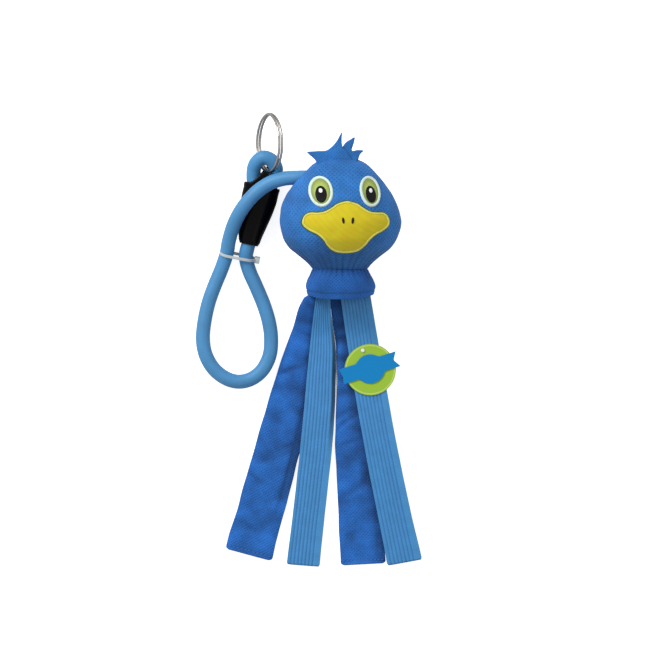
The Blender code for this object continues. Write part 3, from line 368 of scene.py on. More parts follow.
def along(rows, share):
    """The row at a share of the table, whose first column is the share, smoothly between its rows."""
    share = min(max(share, rows[0][0]), rows[-1][0])
    i = max(k for k in range(len(rows) - 1) if rows[k][0] <= share)
    a, p, q, b = rows[max(i - 1, 0)], rows[i], rows[i + 1], rows[min(i + 2, len(rows) - 1)]
    w = q[0] - p[0]
    t = (share - p[0]) / w
    found = []
    for k in range(1, len(p)):
        rise = (q[k] - p[k]) / w
        before = (p[k] - a[k]) / (p[0] - a[0]) if p[0] > a[0] else rise
        after = (b[k] - q[k]) / (b[0] - q[0]) if b[0] > q[0] else rise
        m0 = 0.0 if before * rise <= 0 else 2 * before * rise / (before + rise)
        m1 = 0.0 if after * rise <= 0 else 2 * after * rise / (after + rise)
        found.append(
            p[k] * (2 * t**3 - 3 * t * t + 1) + q[k] * (3 * t * t - 2 * t**3)
            + m0 * w * (t**3 - 2 * t * t + t) + m1 * w * (t**3 - t * t)
        )
    return found


def through(rows, steps):
    """Points on a smooth curve through the rows, with the given number of steps between two rows."""
    rows = [Vector(row) for row in rows]
    ends = [2 * rows[0] - rows[1]] + rows + [2 * rows[-1] - rows[-2]]
    found = []
    for a, b, c, d in zip(ends, ends[1:], ends[2:], ends[3:]):
        for j in range(steps):
            t = j / steps
            spot = 2 * b + (c - a) * t + (2 * a - 5 * b + 4 * c - d) * t * t
            found.append((spot + (3 * b - a - 3 * c + d) * t**3) / 2)
    return found + [rows[-1]]


def ramp(value, low, high):
    """0 below low, 1 above high, and smooth between them."""
    t = min(max((value - low) / (high - low), 0.0), 1.0)
    return t * t * (3 - 2 * t)


def swell(value, start, full, fall, end):
    """Rises smoothly from 0 at start to 1 at full, and goes back to 0 from fall to end."""
    return ramp(value, start, full) * (1 - ramp(value, fall, end))


def oval(half_width, half_depth, squareness, angle):
    """The point at an angle on an oval: 2 is an ellipse, and more is squarer."""
    c, s = math.cos(angle), math.sin(angle)
    return (
        math.copysign(abs(c) ** (2 / squareness), c) * half_width,
        math.copysign(abs(s) ** (2 / squareness), s) * half_depth,
    )


def lumps(point, size, seed):
    """Soft noise from -1 to 1 with lumps of the given size."""
    return noise.noise(Vector(point) / size + Vector((seed, seed * 0.7, -seed)))


def placed(name, data):
    """A new object in the scene."""
    obj = bpy.data.objects.new(name, data)
    bpy.context.scene.collection.objects.link(obj)
    return obj


def settled(name, obj):
    """The shape that the object's modifiers make, as a plain mesh. The object is removed."""
    graph = bpy.context.evaluated_depsgraph_get()
    mesh = bpy.data.meshes.new_from_object(obj.evaluated_get(graph))
    mesh.name = name
    mesh.materials.clear()
    bpy.data.objects.remove(obj)
    return mesh


def rounded(bm, edges, offset):
    """Rounds the edges of a bmesh."""
    bmesh.ops.bevel(
        bm, geom=edges, offset=offset, segments=2, profile=0.5, affect="EDGES", clamp_overlap=True,
    )


def piece(name, mesh, look, body, slot, *nodes):
    """Puts a finished mesh in the scene on its body, in place of the construction's nodes."""
    obj = placed(name, mesh)
    mesh.materials.append(look)
    mesh.shade_smooth()
    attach(obj, body)
    if nodes:
        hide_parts(*nodes)
    return obj


def skin(name, rings, flat, capped=True, looped=False, creases=None):
    """A closed skin over rings of points.

    flat: the (u, v) of each point in metres, and one more where its ring closes.
    capped: the two end rings are filled. looped: the last ring joins the first.
    creases: painted shade at each point, from 0 to 1, which darkens the colour in folds, hollows and shaded
    places.
    """
    mesh = bpy.data.meshes.new(name)
    bm = bmesh.new()
    layer = bm.loops.layers.uv.new("UVMap")
    # The painted shade of each point, which the materials read to darken the colour
    depth = bm.verts.layers.float.new("painted_shade")
    made = [[bm.verts.new(p) for p in ring] for ring in rings]
    if creases:
        for row, values in zip(made, creases):
            for vertex, value in zip(row, values):
                vertex[depth] = value
    count = len(rings[0])
    rows = list(zip(range(len(made)), made))
    pairs = list(zip(rows, rows[1:])) + ([(rows[-1], rows[0])] if looped else [])
    for (k, low), (m, high) in pairs:
        for i in range(count):
            j = (i + 1) % count
            face = bm.faces.new((low[i], low[j], high[j], high[i]))
            for loop, uv in zip(face.loops, (flat[k][i], flat[k][i + 1], flat[m][i + 1], flat[m][i])):
                loop[layer].uv = uv
    if capped:
        for k, ring in ((0, made[0]), (-1, made[-1])):
            face = bm.faces.new(ring)
            for loop, uv in zip(face.loops, flat[k]):
                loop[layer].uv = uv
    bmesh.ops.remove_doubles(bm, verts=bm.verts, dist=MM / 1000)
    bmesh.ops.recalc_face_normals(bm, faces=bm.faces)
    bmesh.ops.triangulate(bm, faces=[f for f in bm.faces if len(f.verts) > 4])
    bm.to_mesh(mesh)
    bm.free()
    return mesh


def tube_mesh(name, points, radius, sides):
    """A closed round tube along the points, its flat map running round and along.

    radius is a length, or a function of the share of the run.
    """
    points = [Vector(p) for p in points]
    size = radius if callable(radius) else (lambda share: radius)
    rings, flat = [], []
    run, total = 0.0, sum((b - a).length for a, b in zip(points, points[1:]))
    side = None
    for i, point in enumerate(points):
        way = (points[min(i + 1, len(points) - 1)] - points[max(i - 1, 0)]).normalized()
        side = way.orthogonal() if side is None else side - way * side.dot(way)
        side.normalize()
        over = way.cross(side)
        run += (point - points[i - 1]).length if i else 0.0
        r = size(run / total)
        ring, row = [], []
        for j in range(sides + 1):
            a = 2 * math.pi * j / sides
            if j < sides:
                ring.append(point + side * math.cos(a) * r + over * math.sin(a) * r)
            row.append((a * r, run))
        rings.append(ring)
        flat.append(row)
    return skin(name, rings, flat)


def mesh_cloth(name, code, pitch, dark=0.0, clear=0.8, flecks=0.13):
    """Knitted air-mesh polyester: staggered pores with a raised web between them, matt with a faint sheen."""
    made, tree, shader = finish_named(
        name, Roughness=0.78, Sheen_Weight=0.08, Sheen_Roughness=0.4, Specular_IOR_Level=0.35,
    )
    flat = add(tree, "UVMap", uv_map="UVMap")
    place = add(tree, "TexCoord").outputs["Object"]
    turned = add(tree, "Mapping", {
        "Vector": flat, "Rotation": (0.0, 0.0, math.radians(45)), "Scale": (1 / pitch, 1 / pitch, 1.0),
    })
    pores = add(tree, "TexVoronoi", {
        "Vector": turned, "Scale": 1.0, "Randomness": 0.22,
    }, voronoi_dimensions="2D")
    web = add(tree, "MapRange", {
        "Value": pores, "From Min": 0.08, "From Max": 0.42,
    }, interpolation_type="SMOOTHSTEP")
    # Yarn inside the web is 0.15 mm thick and drawn at 0.5 mm, so that it shows
    yarn = add(tree, "TexNoise", {"Vector": flat, "Scale": 1 / (0.5 * MM), "Detail": 2.0})
    # The pores close up in patches, where the knit is slack
    worn = mottle(tree, place, 24, 1.0, 0.2 * clear, clear, 0.15)
    shut = add(tree, "Math", {0: 1.0, 1: worn}, operation="SUBTRACT")
    shown = add(tree, "Math", {0: web, 1: shut}, operation="MAXIMUM")
    pore = linear(bpy.context.scene.tug_cloth.pore_blue)
    base = add(tree, "Mix", {0: shown, 6: pore, 7: linear(code)}, data_type="RGBA").outputs[2]
    fleck = add(tree, "MapRange", {
        "Value": yarn, "From Min": 0.35, "From Max": 0.75, "To Min": 1 - flecks, "To Max": 1 + 1.6 * flecks,
    })
    # Painted shade: the point's shade value darkens the colour, down to 0.42 in the deepest folds and hollows
    fold = add(tree, "Attribute", attribute_name="painted_shade").outputs["Fac"]
    shade = mottle(tree, place, 14, 3.0, 0.95 - dark - 1.4 * flecks, 0.98 - dark + 1.4 * flecks)
    for factor in (fleck, add(tree, "MapRange", {"Value": fold, "To Min": 1.0, "To Max": 0.42})):
        shade = add(tree, "Math", {0: shade, 1: factor}, operation="MULTIPLY")
    height = add(tree, "Math", {0: yarn, 1: 0.25, 2: web}, operation="MULTIPLY_ADD")
    surface(tree, shader, base, shade, height, 0.7, 0.4)
    return made


def satin_thread(name, code, spacing, dim=0.7, shine=0.5, edge=0.0):
    """Rayon embroidery thread laid side by side: a soft gloss along each thread, and dark lines between."""
    made, tree, shader = finish_named(name, Roughness=0.5, Specular_IOR_Level=shine, Sheen_Weight=0.1 * shine)
    flat = add(tree, "UVMap", uv_map="UVMap")
    apart = add(tree, "SeparateXYZ", {0: flat}).outputs
    # Thread is 0.4 mm thick and drawn as coarse as the spacing given, so that it shows
    wave = add(tree, "Math", {0: apart["X"], 1: math.pi / spacing}, operation="MULTIPLY")
    round_top = add(tree, "Math", {0: add(tree, "Math", {0: wave}, operation="SINE")}, operation="ABSOLUTE")
    shade = add(tree, "MapRange", {"Value": round_top, "From Max": 0.6, "To Min": dim})
    factors = [mottle(tree, flat, 2, 2.0, 0.93, 1.07)]
    if edge:
        # The colour darkens toward the patch's edge
        factors.append(add(tree, "MapRange", {
            "Value": apart["Y"], "From Min": 0.3 * edge, "From Max": edge, "To Min": 0.6, "To Max": 1.05,
        }))
    for factor in factors:
        shade = add(tree, "Math", {0: shade, 1: factor}, operation="MULTIPLY")
    surface(tree, shader, linear(code)[:3], shade, round_top, 0.5, 0.2)
    return made


def brushed_twill(name, code, warm):
    """Brushed polyester twill of the beak: fine slanting lines, matt, with warmer and cooler patches."""
    made, tree, shader = finish_named(name, Roughness=0.75, Sheen_Weight=0.15, Specular_IOR_Level=0.3)
    place = add(tree, "TexCoord").outputs["Object"]
    # Twill lines are 0.5 mm apart, and drawn as faint bands about 4 mm apart, so that they show
    lines = add(tree, "TexWave", {
        "Vector": place, "Scale": 1 / (9 * MM), "Distortion": 0.8, "Detail": 2.0, "Detail Scale": 2.0,
    }, bands_direction="DIAGONAL").outputs["Fac"]
    cloud = add(tree, "TexNoise", {"Vector": place, "Scale": 1 / (9 * MM), "Detail": 2.0})
    patch = add(tree, "MapRange", {"Value": cloud, "From Min": 0.4, "From Max": 0.75})
    base = add(tree, "Mix", {0: patch, 6: linear(code), 7: linear(warm)}, data_type="RGBA").outputs[2]
    shade = add(tree, "MapRange", {"Value": lines, "To Min": 0.97, "To Max": 1.02})
    surface(tree, shader, base, shade, lines, 0.12, 0.15)
    return made


def ribbed_elastic(name):
    """Knitted elastic over rubber threads: pale ribs with short cross stitches, darker in the grooves."""
    elastic = bpy.context.scene.tug_elastic
    made, tree, shader = finish_named(name, Roughness=0.55, Sheen_Weight=0.12, Specular_IOR_Level=0.4)
    flat = add(tree, "UVMap", uv_map="UVMap")
    apart = add(tree, "SeparateXYZ", {0: flat}).outputs
    turn = 2 * math.pi * elastic.ribs / ELASTIC_WIDTH
    across = add(tree, "Math", {0: apart["X"], 1: turn}, operation="MULTIPLY")
    wave = add(tree, "Math", {0: across}, operation="COSINE")
    groove = add(tree, "MapRange", {"Value": wave, "From Min": 0.15, "To Max": 0.8})
    # The band has a plain edge on each side
    for low, high in ((0.03, 0.08), (0.86, 0.8)):
        edge = add(tree, "MapRange", {
            "Value": apart["X"], "From Min": low * ELASTIC_WIDTH, "From Max": high * ELASTIC_WIDTH,
        })
        groove = add(tree, "Math", {0: groove, 1: edge}, operation="MULTIPLY")
    # Knit rows are 0.6 mm apart and drawn at 1 mm, so that they show
    rows = add(tree, "Math", {0: apart["Y"], 1: 2 * math.pi / (1.0 * MM)}, operation="MULTIPLY")
    knit = add(tree, "Math", {0: rows}, operation="SINE")
    uneven = mottle(tree, flat, 9, 3.0, 0.9, 1.06)
    shade = add(tree, "Math", {0: knit, 1: 0.035, 2: uneven}, operation="MULTIPLY_ADD")
    # Painted shade: the shade value darkens the colour, here on the left band's rolled-down edge
    rolled = add(tree, "Attribute", attribute_name="painted_shade").outputs["Fac"]
    dim = add(tree, "MapRange", {"Value": rolled, "To Min": 1.0, "To Max": 0.2})
    shade = add(tree, "Math", {0: shade, 1: dim}, operation="MULTIPLY")
    base = add(tree, "Mix", {0: groove, 6: linear(elastic.blue), 7: linear(elastic.groove)}, data_type="RGBA")
    surface(tree, shader, base.outputs[2], shade, knit, 0.3, 0.1)
    return made


def extruded_rubber(name, code):
    """Extruded latex tube with a dusty satin skin: broad soft highlight, faint mottle and powder marks."""
    made, tree, shader = finish_named(name, Specular_IOR_Level=0.35)
    place = add(tree, "TexCoord").outputs["Object"]
    fine = add(tree, "TexNoise", {"Vector": place, "Scale": 1 / (0.9 * MM), "Detail": 3.0})
    surface(tree, shader, linear(code)[:3], mottle(tree, place, 18, 4.0, 0.9, 1.07), fine, 0.08, 0.1)
    feed(shader, {"Roughness": mottle(tree, place, 0.9, 3.0, 0.42, 0.6)})
    return made


def moulded(name, code, roughness, grain=0.6, alpha=1.0, shine=0.5):
    """Injection-moulded thermoplastic: an even colour, a light orange-peel skin and slightly uneven gloss."""
    made, tree, shader = finish_named(name, IOR=1.49, Alpha=alpha, Specular_IOR_Level=shine)
    place = add(tree, "TexCoord").outputs["Object"]
    peel = add(tree, "TexNoise", {"Vector": place, "Scale": 1 / (grain * MM), "Detail": 2.0})
    surface(tree, shader, linear(code)[:3], 1.0, peel, 0.06, 0.1)
    feed(shader, {"Roughness": mottle(tree, place, 7, 3.0, roughness * 0.85, roughness * 1.2)})
    return made


def nickel_wire(name):
    """Drawn spring-steel wire, nickel plated: bright, with fine rub marks that scatter the gloss."""
    made, tree, shader = finish_named(name, Base_Color=linear("96938e"), Metallic=1.0)
    flat = add(tree, "UVMap", uv_map="UVMap")
    # Rub marks are 0.3 mm wide and 6 mm long
    long = add(tree, "Mapping", {"Vector": flat, "Scale": (1 / (0.3 * MM), 1 / (6 * MM), 1.0)})
    rub = add(tree, "TexNoise", {"Vector": long, "Scale": 1.0, "Detail": 3.0})
    feed(shader, {"Roughness": add(tree, "MapRange", {
        "Value": rub, "From Min": 0.3, "From Max": 0.75, "To Min": 0.14, "To Max": 0.36,
    })})
    return made


def coated_card(name, code, line=None, centre=(0.0, 0.0, 0.0), radius=0.0):
    """Printed and varnished card: flat ink, a slight mottle, a soft gloss and a line near its edge."""
    made, tree, shader = finish_named(name, Roughness=0.38, IOR=1.5, Specular_IOR_Level=0.25)
    place = add(tree, "TexCoord").outputs["Object"]
    fibre = add(tree, "TexNoise", {"Vector": place, "Scale": 1 / (0.8 * MM), "Detail": 3.0})
    away = add(tree, "VectorMath", {0: place, 1: centre}, operation="DISTANCE").outputs["Value"]
    beyond = add(tree, "Math", {0: away, 1: radius}, operation="SUBTRACT")
    off = add(tree, "Math", {0: beyond}, operation="ABSOLUTE")
    ink = add(tree, "MapRange", {
        "Value": off, "From Min": 0.2 * MM, "From Max": 0.4 * MM, "To Min": 1.0, "To Max": 0.0,
    })
    base = add(tree, "Mix", {0: ink, 6: linear(code), 7: linear(line or code)}, data_type="RGBA").outputs[2]
    surface(tree, shader, base, mottle(tree, place, 0.8, 3.0, 0.97, 1.03), fibre, 0.05, 0.1)
    return made


def fibre_fill(name, code):
    """Polyester fibre: matt, pale and cloudy."""
    made, tree, shader = finish_named(name, Roughness=0.95)
    place = add(tree, "TexCoord").outputs["Object"]
    wisps = add(tree, "TexNoise", {"Vector": place, "Scale": 1 / (2 * MM), "Detail": 5.0})
    shade = add(tree, "MapRange", {"Value": wisps, "To Min": 0.8, "To Max": 1.05})
    surface(tree, shader, linear(code)[:3], shade, wisps, 0.4, 0.4)
    return made


def woven_tape(name, code):
    """Woven polyester tape: a plain weave with a pale thread over a dark one, matt."""
    made, tree, shader = finish_named(name, Roughness=0.8, Sheen_Weight=0.1)
    place = add(tree, "TexCoord").outputs["Object"]
    colour = linear(code)
    # Threads are 0.9 mm wide
    weave = add(tree, "TexChecker", {
        "Vector": place, "Scale": 1 / (0.9 * MM), "Color1": colour,
        "Color2": (*[value * 0.7 for value in colour[:3]], 1.0),
    }).outputs
    surface(tree, shader, weave["Color"], 1.0, weave["Fac"], 0.3, 0.15)
    return made


def twisted_thread(name, code):
    """Polyester sewing thread: two plies twisted together, with a thin gloss."""
    made, tree, shader = finish_named(name, Roughness=0.5, Sheen_Weight=0.1)
    place = add(tree, "TexCoord").outputs["Object"]
    ply = add(tree, "TexNoise", {"Vector": place, "Scale": 1 / (0.5 * MM), "Detail": 2.0})
    surface(tree, shader, linear(code)[:3], mottle(tree, place, 0.5, 2.0, 0.85, 1.06), ply, 0.3, 0.1)
    return made


def stitch_tree():
    """Lays one oval thread at every step along a line, its height along "rise" and its length along "way"."""
    if "row of stitches" in bpy.data.node_groups:
        return bpy.data.node_groups["row of stitches"]
    tree = bpy.data.node_groups.new("row of stitches", "GeometryNodeTree")
    tree.interface.new_socket("Geometry", in_out="INPUT", socket_type="NodeSocketGeometry")
    for name in ("Spacing", "Length", "Width", "Height"):
        tree.interface.new_socket(name, in_out="INPUT", socket_type="NodeSocketFloat").default_value = MM
    tree.interface.new_socket("Thread", in_out="INPUT", socket_type="NodeSocketMaterial")
    tree.interface.new_socket("Geometry", in_out="OUTPUT", socket_type="NodeSocketGeometry")
    given = add(tree, "NodeGroupInput").outputs
    line = add(tree, "GeometryNodeMeshToCurve", {"Mesh": given["Geometry"]})
    steps = add(tree, "GeometryNodeResampleCurve", {"Curve": line, "Length": given["Spacing"]}, mode="LENGTH")
    rise = add(tree, "GeometryNodeInputNamedAttribute", {"Name": "rise"}, data_type="FLOAT_VECTOR")
    way = add(tree, "GeometryNodeInputNamedAttribute", {"Name": "way"}, data_type="FLOAT_VECTOR")
    turned = add(tree, "FunctionNodeAlignRotationToVector", {"Vector": rise.outputs["Attribute"]}, axis="Z")
    turned = add(tree, "FunctionNodeAlignRotationToVector", {
        "Rotation": turned, "Vector": way.outputs["Attribute"],
    }, axis="X", pivot_axis="Z")
    thread = add(tree, "GeometryNodeMeshUVSphere", {"Segments": 8, "Rings": 5, "Radius": 0.5})
    uneven = add(tree, "FunctionNodeRandomValue", {2: 0.9, 3: 1.08, "Seed": 5}, data_type="FLOAT").outputs[1]
    length = add(tree, "Math", {0: given["Length"], 1: uneven}, operation="MULTIPLY")
    laid = add(tree, "GeometryNodeInstanceOnPoints", {
        "Points": steps, "Instance": thread, "Rotation": turned,
        "Scale": add(tree, "CombineXYZ", {"X": length, "Y": given["Width"], "Z": given["Height"]}),
    })
    real = add(tree, "GeometryNodeRealizeInstances", {"Geometry": laid})
    done = add(tree, "GeometryNodeSetMaterial", {"Geometry": real, "Material": given["Thread"]})
    add(tree, "NodeGroupOutput", {"Geometry": done})
    return tree


def stitched(name, lines, look, body, slot, **sizes):
    """Rows of stitches as one piece. Each line lists (point, rise, way), and sizes name the tree's inputs."""
    mesh = bpy.data.meshes.new(name + "_line")
    points = [row for line in lines for row in line]
    edges, start = [], 0
    for line in lines:
        edges += [(start + i, start + i + 1) for i in range(len(line) - 1)]
        start += len(line)
    mesh.from_pydata([row[0] for row in points], edges, [])
    for k, key in ((1, "rise"), (2, "way")):
        stored = mesh.attributes.new(key, "FLOAT_VECTOR", "POINT")
        stored.data.foreach_set("vector", [value for row in points for value in row[k]])
    guide = placed(name + "_line", mesh)
    mod = guide.modifiers.new("stitches", "NODES")
    mod.node_group = stitch_tree()
    items = mod.node_group.interface.items_tree
    sockets = {item.name: item.identifier for item in items if item.in_out == "INPUT"}
    for key, value in {**sizes, "Thread": look}.items():
        mod[sockets[key]] = value
    piece(name, settled(name, guide), look, body, slot)


def refined(name, node, look, body, slot, bevel):
    """A copy of a construction node with its faces merged and its edges rounded, in place of the node."""
    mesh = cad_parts[node].data.copy()
    mesh.name = name
    mesh.materials.clear()
    bm = bmesh.new()
    bm.from_mesh(mesh)
    bmesh.ops.remove_doubles(bm, verts=bm.verts, dist=MM / 1000)
    bmesh.ops.dissolve_limit(bm, angle_limit=math.radians(1), verts=bm.verts, edges=bm.edges)
    sharp = [e for e in bm.edges if len(e.link_faces) == 2 and e.calc_face_angle() > math.radians(35)]
    rounded(bm, sharp, bevel)
    bmesh.ops.recalc_face_normals(bm, faces=bm.faces)
    bm.to_mesh(mesh)
    bm.free()
    made = piece(name, mesh, look, body, slot, node)
    mesh.set_sharp_from_angle(angle=math.radians(50))
    return made


def head_row(share):
    """The head at a share of the way to the neck: its y, half width, half depth and middle height."""
    width, depth, rise = along([(1 - row[0], *row[1:]) for row in HEAD_SHARES], share)
    return (
        PINCH_Y + HEAD_LENGTH * (1 - share), HEAD_WIDTH / 2 * width, HEAD_DEPTH / 2 * depth,
        HEAD_MIDDLE_Z * rise,
    )


def collar_row(share):
    """The collar at a share of the way to its hem: as for the head, and its squareness."""
    pinch = head_row(1.0)
    first = (0.0, pinch[1] / (COLLAR_WIDTH / 2), pinch[2] / (COLLAR_DEPTH / 2), 0.0, 2.0)
    width, depth, fall, squareness = along((first, *COLLAR_SHARES), share)
    return (
        PINCH_Y - COLLAR_LENGTH * share, COLLAR_WIDTH / 2 * width, COLLAR_DEPTH / 2 * depth,
        PINCH_MIDDLE_Z - COLLAR_DROP * fall, squareness,
    )


def gather(angle, share_in):
    """Depth of the folds round the neck, from 0 on a ridge to 1 in a valley, fading by the share given."""
    count = bpy.context.scene.tug_cloth.gathers
    wander = 1.1 * noise.noise(Vector((3 * math.cos(angle), 3 * math.sin(angle), 4.2)))
    uneven = 0.75 + 0.5 * noise.noise(Vector((6 * math.cos(angle), 6 * math.sin(angle), 9.1)))
    return share_in * uneven * (1 - abs(math.sin(count * angle / 2 + wander)))


def ring_lengths(ring):
    """Signed distance round a ring from its middle point, and one more for where the ring closes."""
    run = [0.0]
    for a, b in zip(ring, ring[1:] + ring[:1]):
        run.append(run[-1] + (b - a).length)
    return [value - run[len(ring) // 2] for value in run]


def head_mesh():
    """The stuffed head: smooth at the crown and cheeks, gathered at the neck, with a seam at each side."""
    cloth = bpy.context.scene.tug_cloth
    rows = 130
    rings, flat, creases, run = [], [], [], 0.0
    for k in range(rows + 1):
        share = (1 - math.cos(math.pi * k / rows)) / 2
        y, width, depth, middle = head_row(share)
        ring = []
        creases.append([])
        for a in ANGLES:
            fold = gather(a, ramp(share, 0.74, 0.95))
            # Painted shade: darker toward the chin under the beak, and in the valleys of the neck's gathers
            creases[-1].append(0.33 * ramp(share, 0.7, 0.93) + 0.6 * fold)
            drawn = cloth.gather_depth * fold
            seam = 0.6 * MM * math.exp(-((abs(math.cos(a)) - 1) * 60) ** 2) * ramp(share, 0.02, 0.12)
            inward = 1 - (drawn + seam) / max(width, 4 * MM)
            x, z = width * math.cos(a) * inward, middle + depth * math.sin(a) * inward
            point = Vector((x, y, z))
            out = Vector((math.cos(a), 0.15, math.sin(a)))
            broad, fine = 0.55 * lumps(point, 19 * MM, 2.0), 0.2 * lumps(point, 6 * MM, 7.0)
            point += out * (broad + fine) * MM * swell(share, 0.03, 0.2, 0.86, 1.0)
            # The tube draws the cloth in where it leaves the head
            away = (point - Vector(TUBE_EXIT)).length
            point += Vector((1.0, -0.3, 0.0)) * 1.3 * MM * (1 - ramp(away, 4.5 * MM, 10 * MM))
            cheek = max(math.cos(a), 0.0) * swell(share, 0.15, 0.35, 0.62, 0.84)
            brow = max(-math.cos(a), 0.0) * swell(share, 0.1, 0.28, 0.38, 0.6)
            jowl = math.cos(a) * swell(share, 0.45, 0.6, 0.75, 0.95)
            point.x += (cheek - 1.2 * brow + 0.6 * jowl) * MM
            point.z = max(point.z, FLOOR_CLEAR)
            ring.append(point)
        run += (ring[AROUND // 2] - rings[-1][AROUND // 2]).length if rings else 0.0
        rings.append(ring)
        flat.append([(u, run) for u in ring_lengths(ring)])
    return skin("head_cloth", rings, flat, creases=creases)


def collar_mesh():
    """The collar: an open skirt of doubled cloth with a rolled hem, gathered where it meets the head."""
    cloth = bpy.context.scene.tug_cloth
    rows, wall = 34, 1.0 * MM
    outer, inner, shades = [], [], []
    for k in range(rows + 1):
        share = k / rows
        y, width, depth, middle, squareness = collar_row(share)
        rings = ([], [])
        shades.append([])
        for a in ANGLES:
            fold = gather(a, 1 - ramp(share, 0.0, 0.55))
            drawn = 0.8 * cloth.gather_depth * fold
            uneven = 0.6 + noise.noise(Vector((math.cos(a), math.sin(a), 3.0)) * 1.6)
            bulge = 0.8 * MM * math.sin(math.pi * share) * uneven
            seam = math.exp(-((share - 0.84) / 0.035) ** 2)
            tuck = 0.35 * MM * seam
            # Painted shade: darker in the gathers, in the hem's tuck, near the head, and a little all over
            shades[-1].append(min(0.14 + 0.8 * fold + 0.35 * seam + 0.4 * (1 - ramp(share, 0.0, 0.12)), 1.0))
            hang = -1.9 * MM * ramp(share, 0.4, 1.0) * max(math.sin(a), 0.0) ** 2
            wave = 0.5 * MM * ramp(share, 0.3, 1.0) * math.sin(5 * a + 1.0)
            for ring, deep in zip(rings, (0.0, wall)):
                off = bulge + wave - drawn - tuck - deep
                x, z = oval(width + off, depth + off, squareness, a)
                side = abs(x / (COLLAR_WIDTH / 2)) ** 4
                corner = (1.6 if x > 0 else 2.0) * MM * ramp(share, 0.4, 1.0) * side
                ring.append(Vector((x, y + hang + corner, max(middle + z, FLOOR_CLEAR))))
        outer.append(rings[0])
        inner.append(rings[1])
    lip = []
    for turn in (45, 90, 135):
        a = math.radians(turn)
        lip.append([
            (p + q) / 2 + (p - q) / 2 * math.cos(a) - Vector((0.0, wall / 2 * math.sin(a), 0.0))
            for p, q in zip(outer[-1], inner[-1])
        ])
    rings = outer + lip + inner[::-1]
    flat, run = [], 0.0
    for k, ring in enumerate(rings):
        run += (ring[AROUND // 2] - rings[k - 1][AROUND // 2]).length if k else 0.0
        flat.append([(u, -run) for u in ring_lengths(ring)])
    # Painted shade: the hem's lip a little darker, and the inside of the collar darker still
    creases = shades + [[0.2] * AROUND] * len(lip) + [[0.5] * AROUND] * len(inner)
    return skin("collar_cloth", rings, flat, capped=False, looped=True, creases=creases)


class TUG_OT_head(bpy.types.Operator):
    """Adds the stuffed head and the collar"""

    bl_idname = "tug.head"
    bl_label = "Head and collar"

    def execute(self, context):
        cloth = context.scene.tug_cloth
        look = mesh_cloth("air mesh polyester, head", cloth.head_blue, cloth.head_pitch)
        head = piece(
            "head_cloth", head_mesh(), look, "head", "mesh_fabric", "head_cover_front", "head_cover_back",
        )
        look = mesh_cloth("air mesh polyester, collar", cloth.blue, cloth.strap_pitch, 0.12, 0.5)
        piece("collar_cloth", collar_mesh(), look, "head", "mesh_fabric", "neck_collar")
        return {"FINISHED"}


def head_tree():
    """The head cloth's surface, ready to be read along the face's own direction."""
    mesh = bpy.data.objects["head_cloth"].data
    mesh.calc_loop_triangles()
    triangles = [tuple(t.vertices) for t in mesh.loop_triangles]
    return BVHTree.FromPolygons([v.co for v in mesh.vertices], triangles)


def on_face(tree, x, y, lift=0.0):
    """The point of the head under (x, y) of the face, lifted along the surface's normal, and that normal."""
    hit, normal = tree.ray_cast(FACE @ Vector((x, y, 60 * MM)), FACE.to_3x3() @ -UP)[:2]
    return hit + normal * lift, normal


def around_oval(width, height, count, centre, lean):
    """Points round an ellipse on the face, leaning to the left."""
    c, s = math.cos(lean), math.sin(lean)
    found = []
    for i in range(count):
        a = 2 * math.pi * i / count
        x, y = width / 2 * math.cos(a), height / 2 * math.sin(a)
        found.append(Vector((centre[0] + x * c - y * s, centre[1] + x * s + y * c)))
    return found


def inset(outline, distance):
    """A closed outline that runs anticlockwise, moved inward along its own normals."""
    found = []
    for i, point in enumerate(outline):
        run = (outline[(i + 1) % len(outline)] - outline[i - 1]).normalized()
        found.append(point + Vector((-run.y, run.x)) * distance)
    return found


def sew(tree, name, outer, goal, measures, look, slot, *nodes, rows=12):
    """Sews a patch on the head, from its outer outline to the goal: a point, or an inner outline for a band.

    measures, in millimetres: its height at the edges, its height within, how far in it reaches that, and how
    much higher its middle is.
    """
    low, high, roll, crown = (value * MM for value in measures)
    band = not isinstance(goal, Vector)
    aims = goal if band else [goal] * len(outer)
    tops = []
    for k in range(rows + 1):
        t = (1 - math.cos(math.pi * k / rows)) / 2 if band else (k / rows) ** 1.7
        ring = []
        for p, q in zip(outer, aims):
            spot = p.lerp(q, t)
            deep = min((spot - p).length, (spot - q).length) if band else (spot - p).length
            rise = math.sqrt(max(1 - (1 - min(deep / roll, 1.0)) ** 2, 0.0))
            middle = 1 - (2 * t - 1) ** 2 if band else 1 - (1 - t) ** 2
            ring.append((spot, low + (high - low) * rise + crown * middle))
        tops.append(ring)
    base = [[(row[0], low - 0.3 * MM) for row in ring] for ring in tops]
    loop = tops + base[::-1] if band else [base[-1], base[0]] + tops
    rings = [[on_face(tree, spot.x, spot.y, lift)[0] for spot, lift in ring] for ring in loop]
    run = [0.0]
    for p, q in zip(outer, outer[1:] + outer[:1]):
        run.append(run[-1] + (q - p).length)
    flat = [[(u, (ring[0][0] - outer[0]).length) for u in run] for ring in loop]
    piece(name, skin(name, rings, flat, capped=False, looped=band), look, "head", slot, *nodes)


def stitch_line(tree, outline, lift):
    """A closed line of stitches across an outline: each point, the way it rises and the way a stitch lies."""
    spots = [on_face(tree, *spot, lift) for spot in outline]
    places = [on_face(tree, *spot)[0] for spot in outline]
    found = []
    for i, (point, normal) in enumerate(spots):
        way = places[(i + 1) % len(places)] - places[i - 1]
        found.append((point, normal, normal.cross(way).normalized()))
    return found + found[:1]


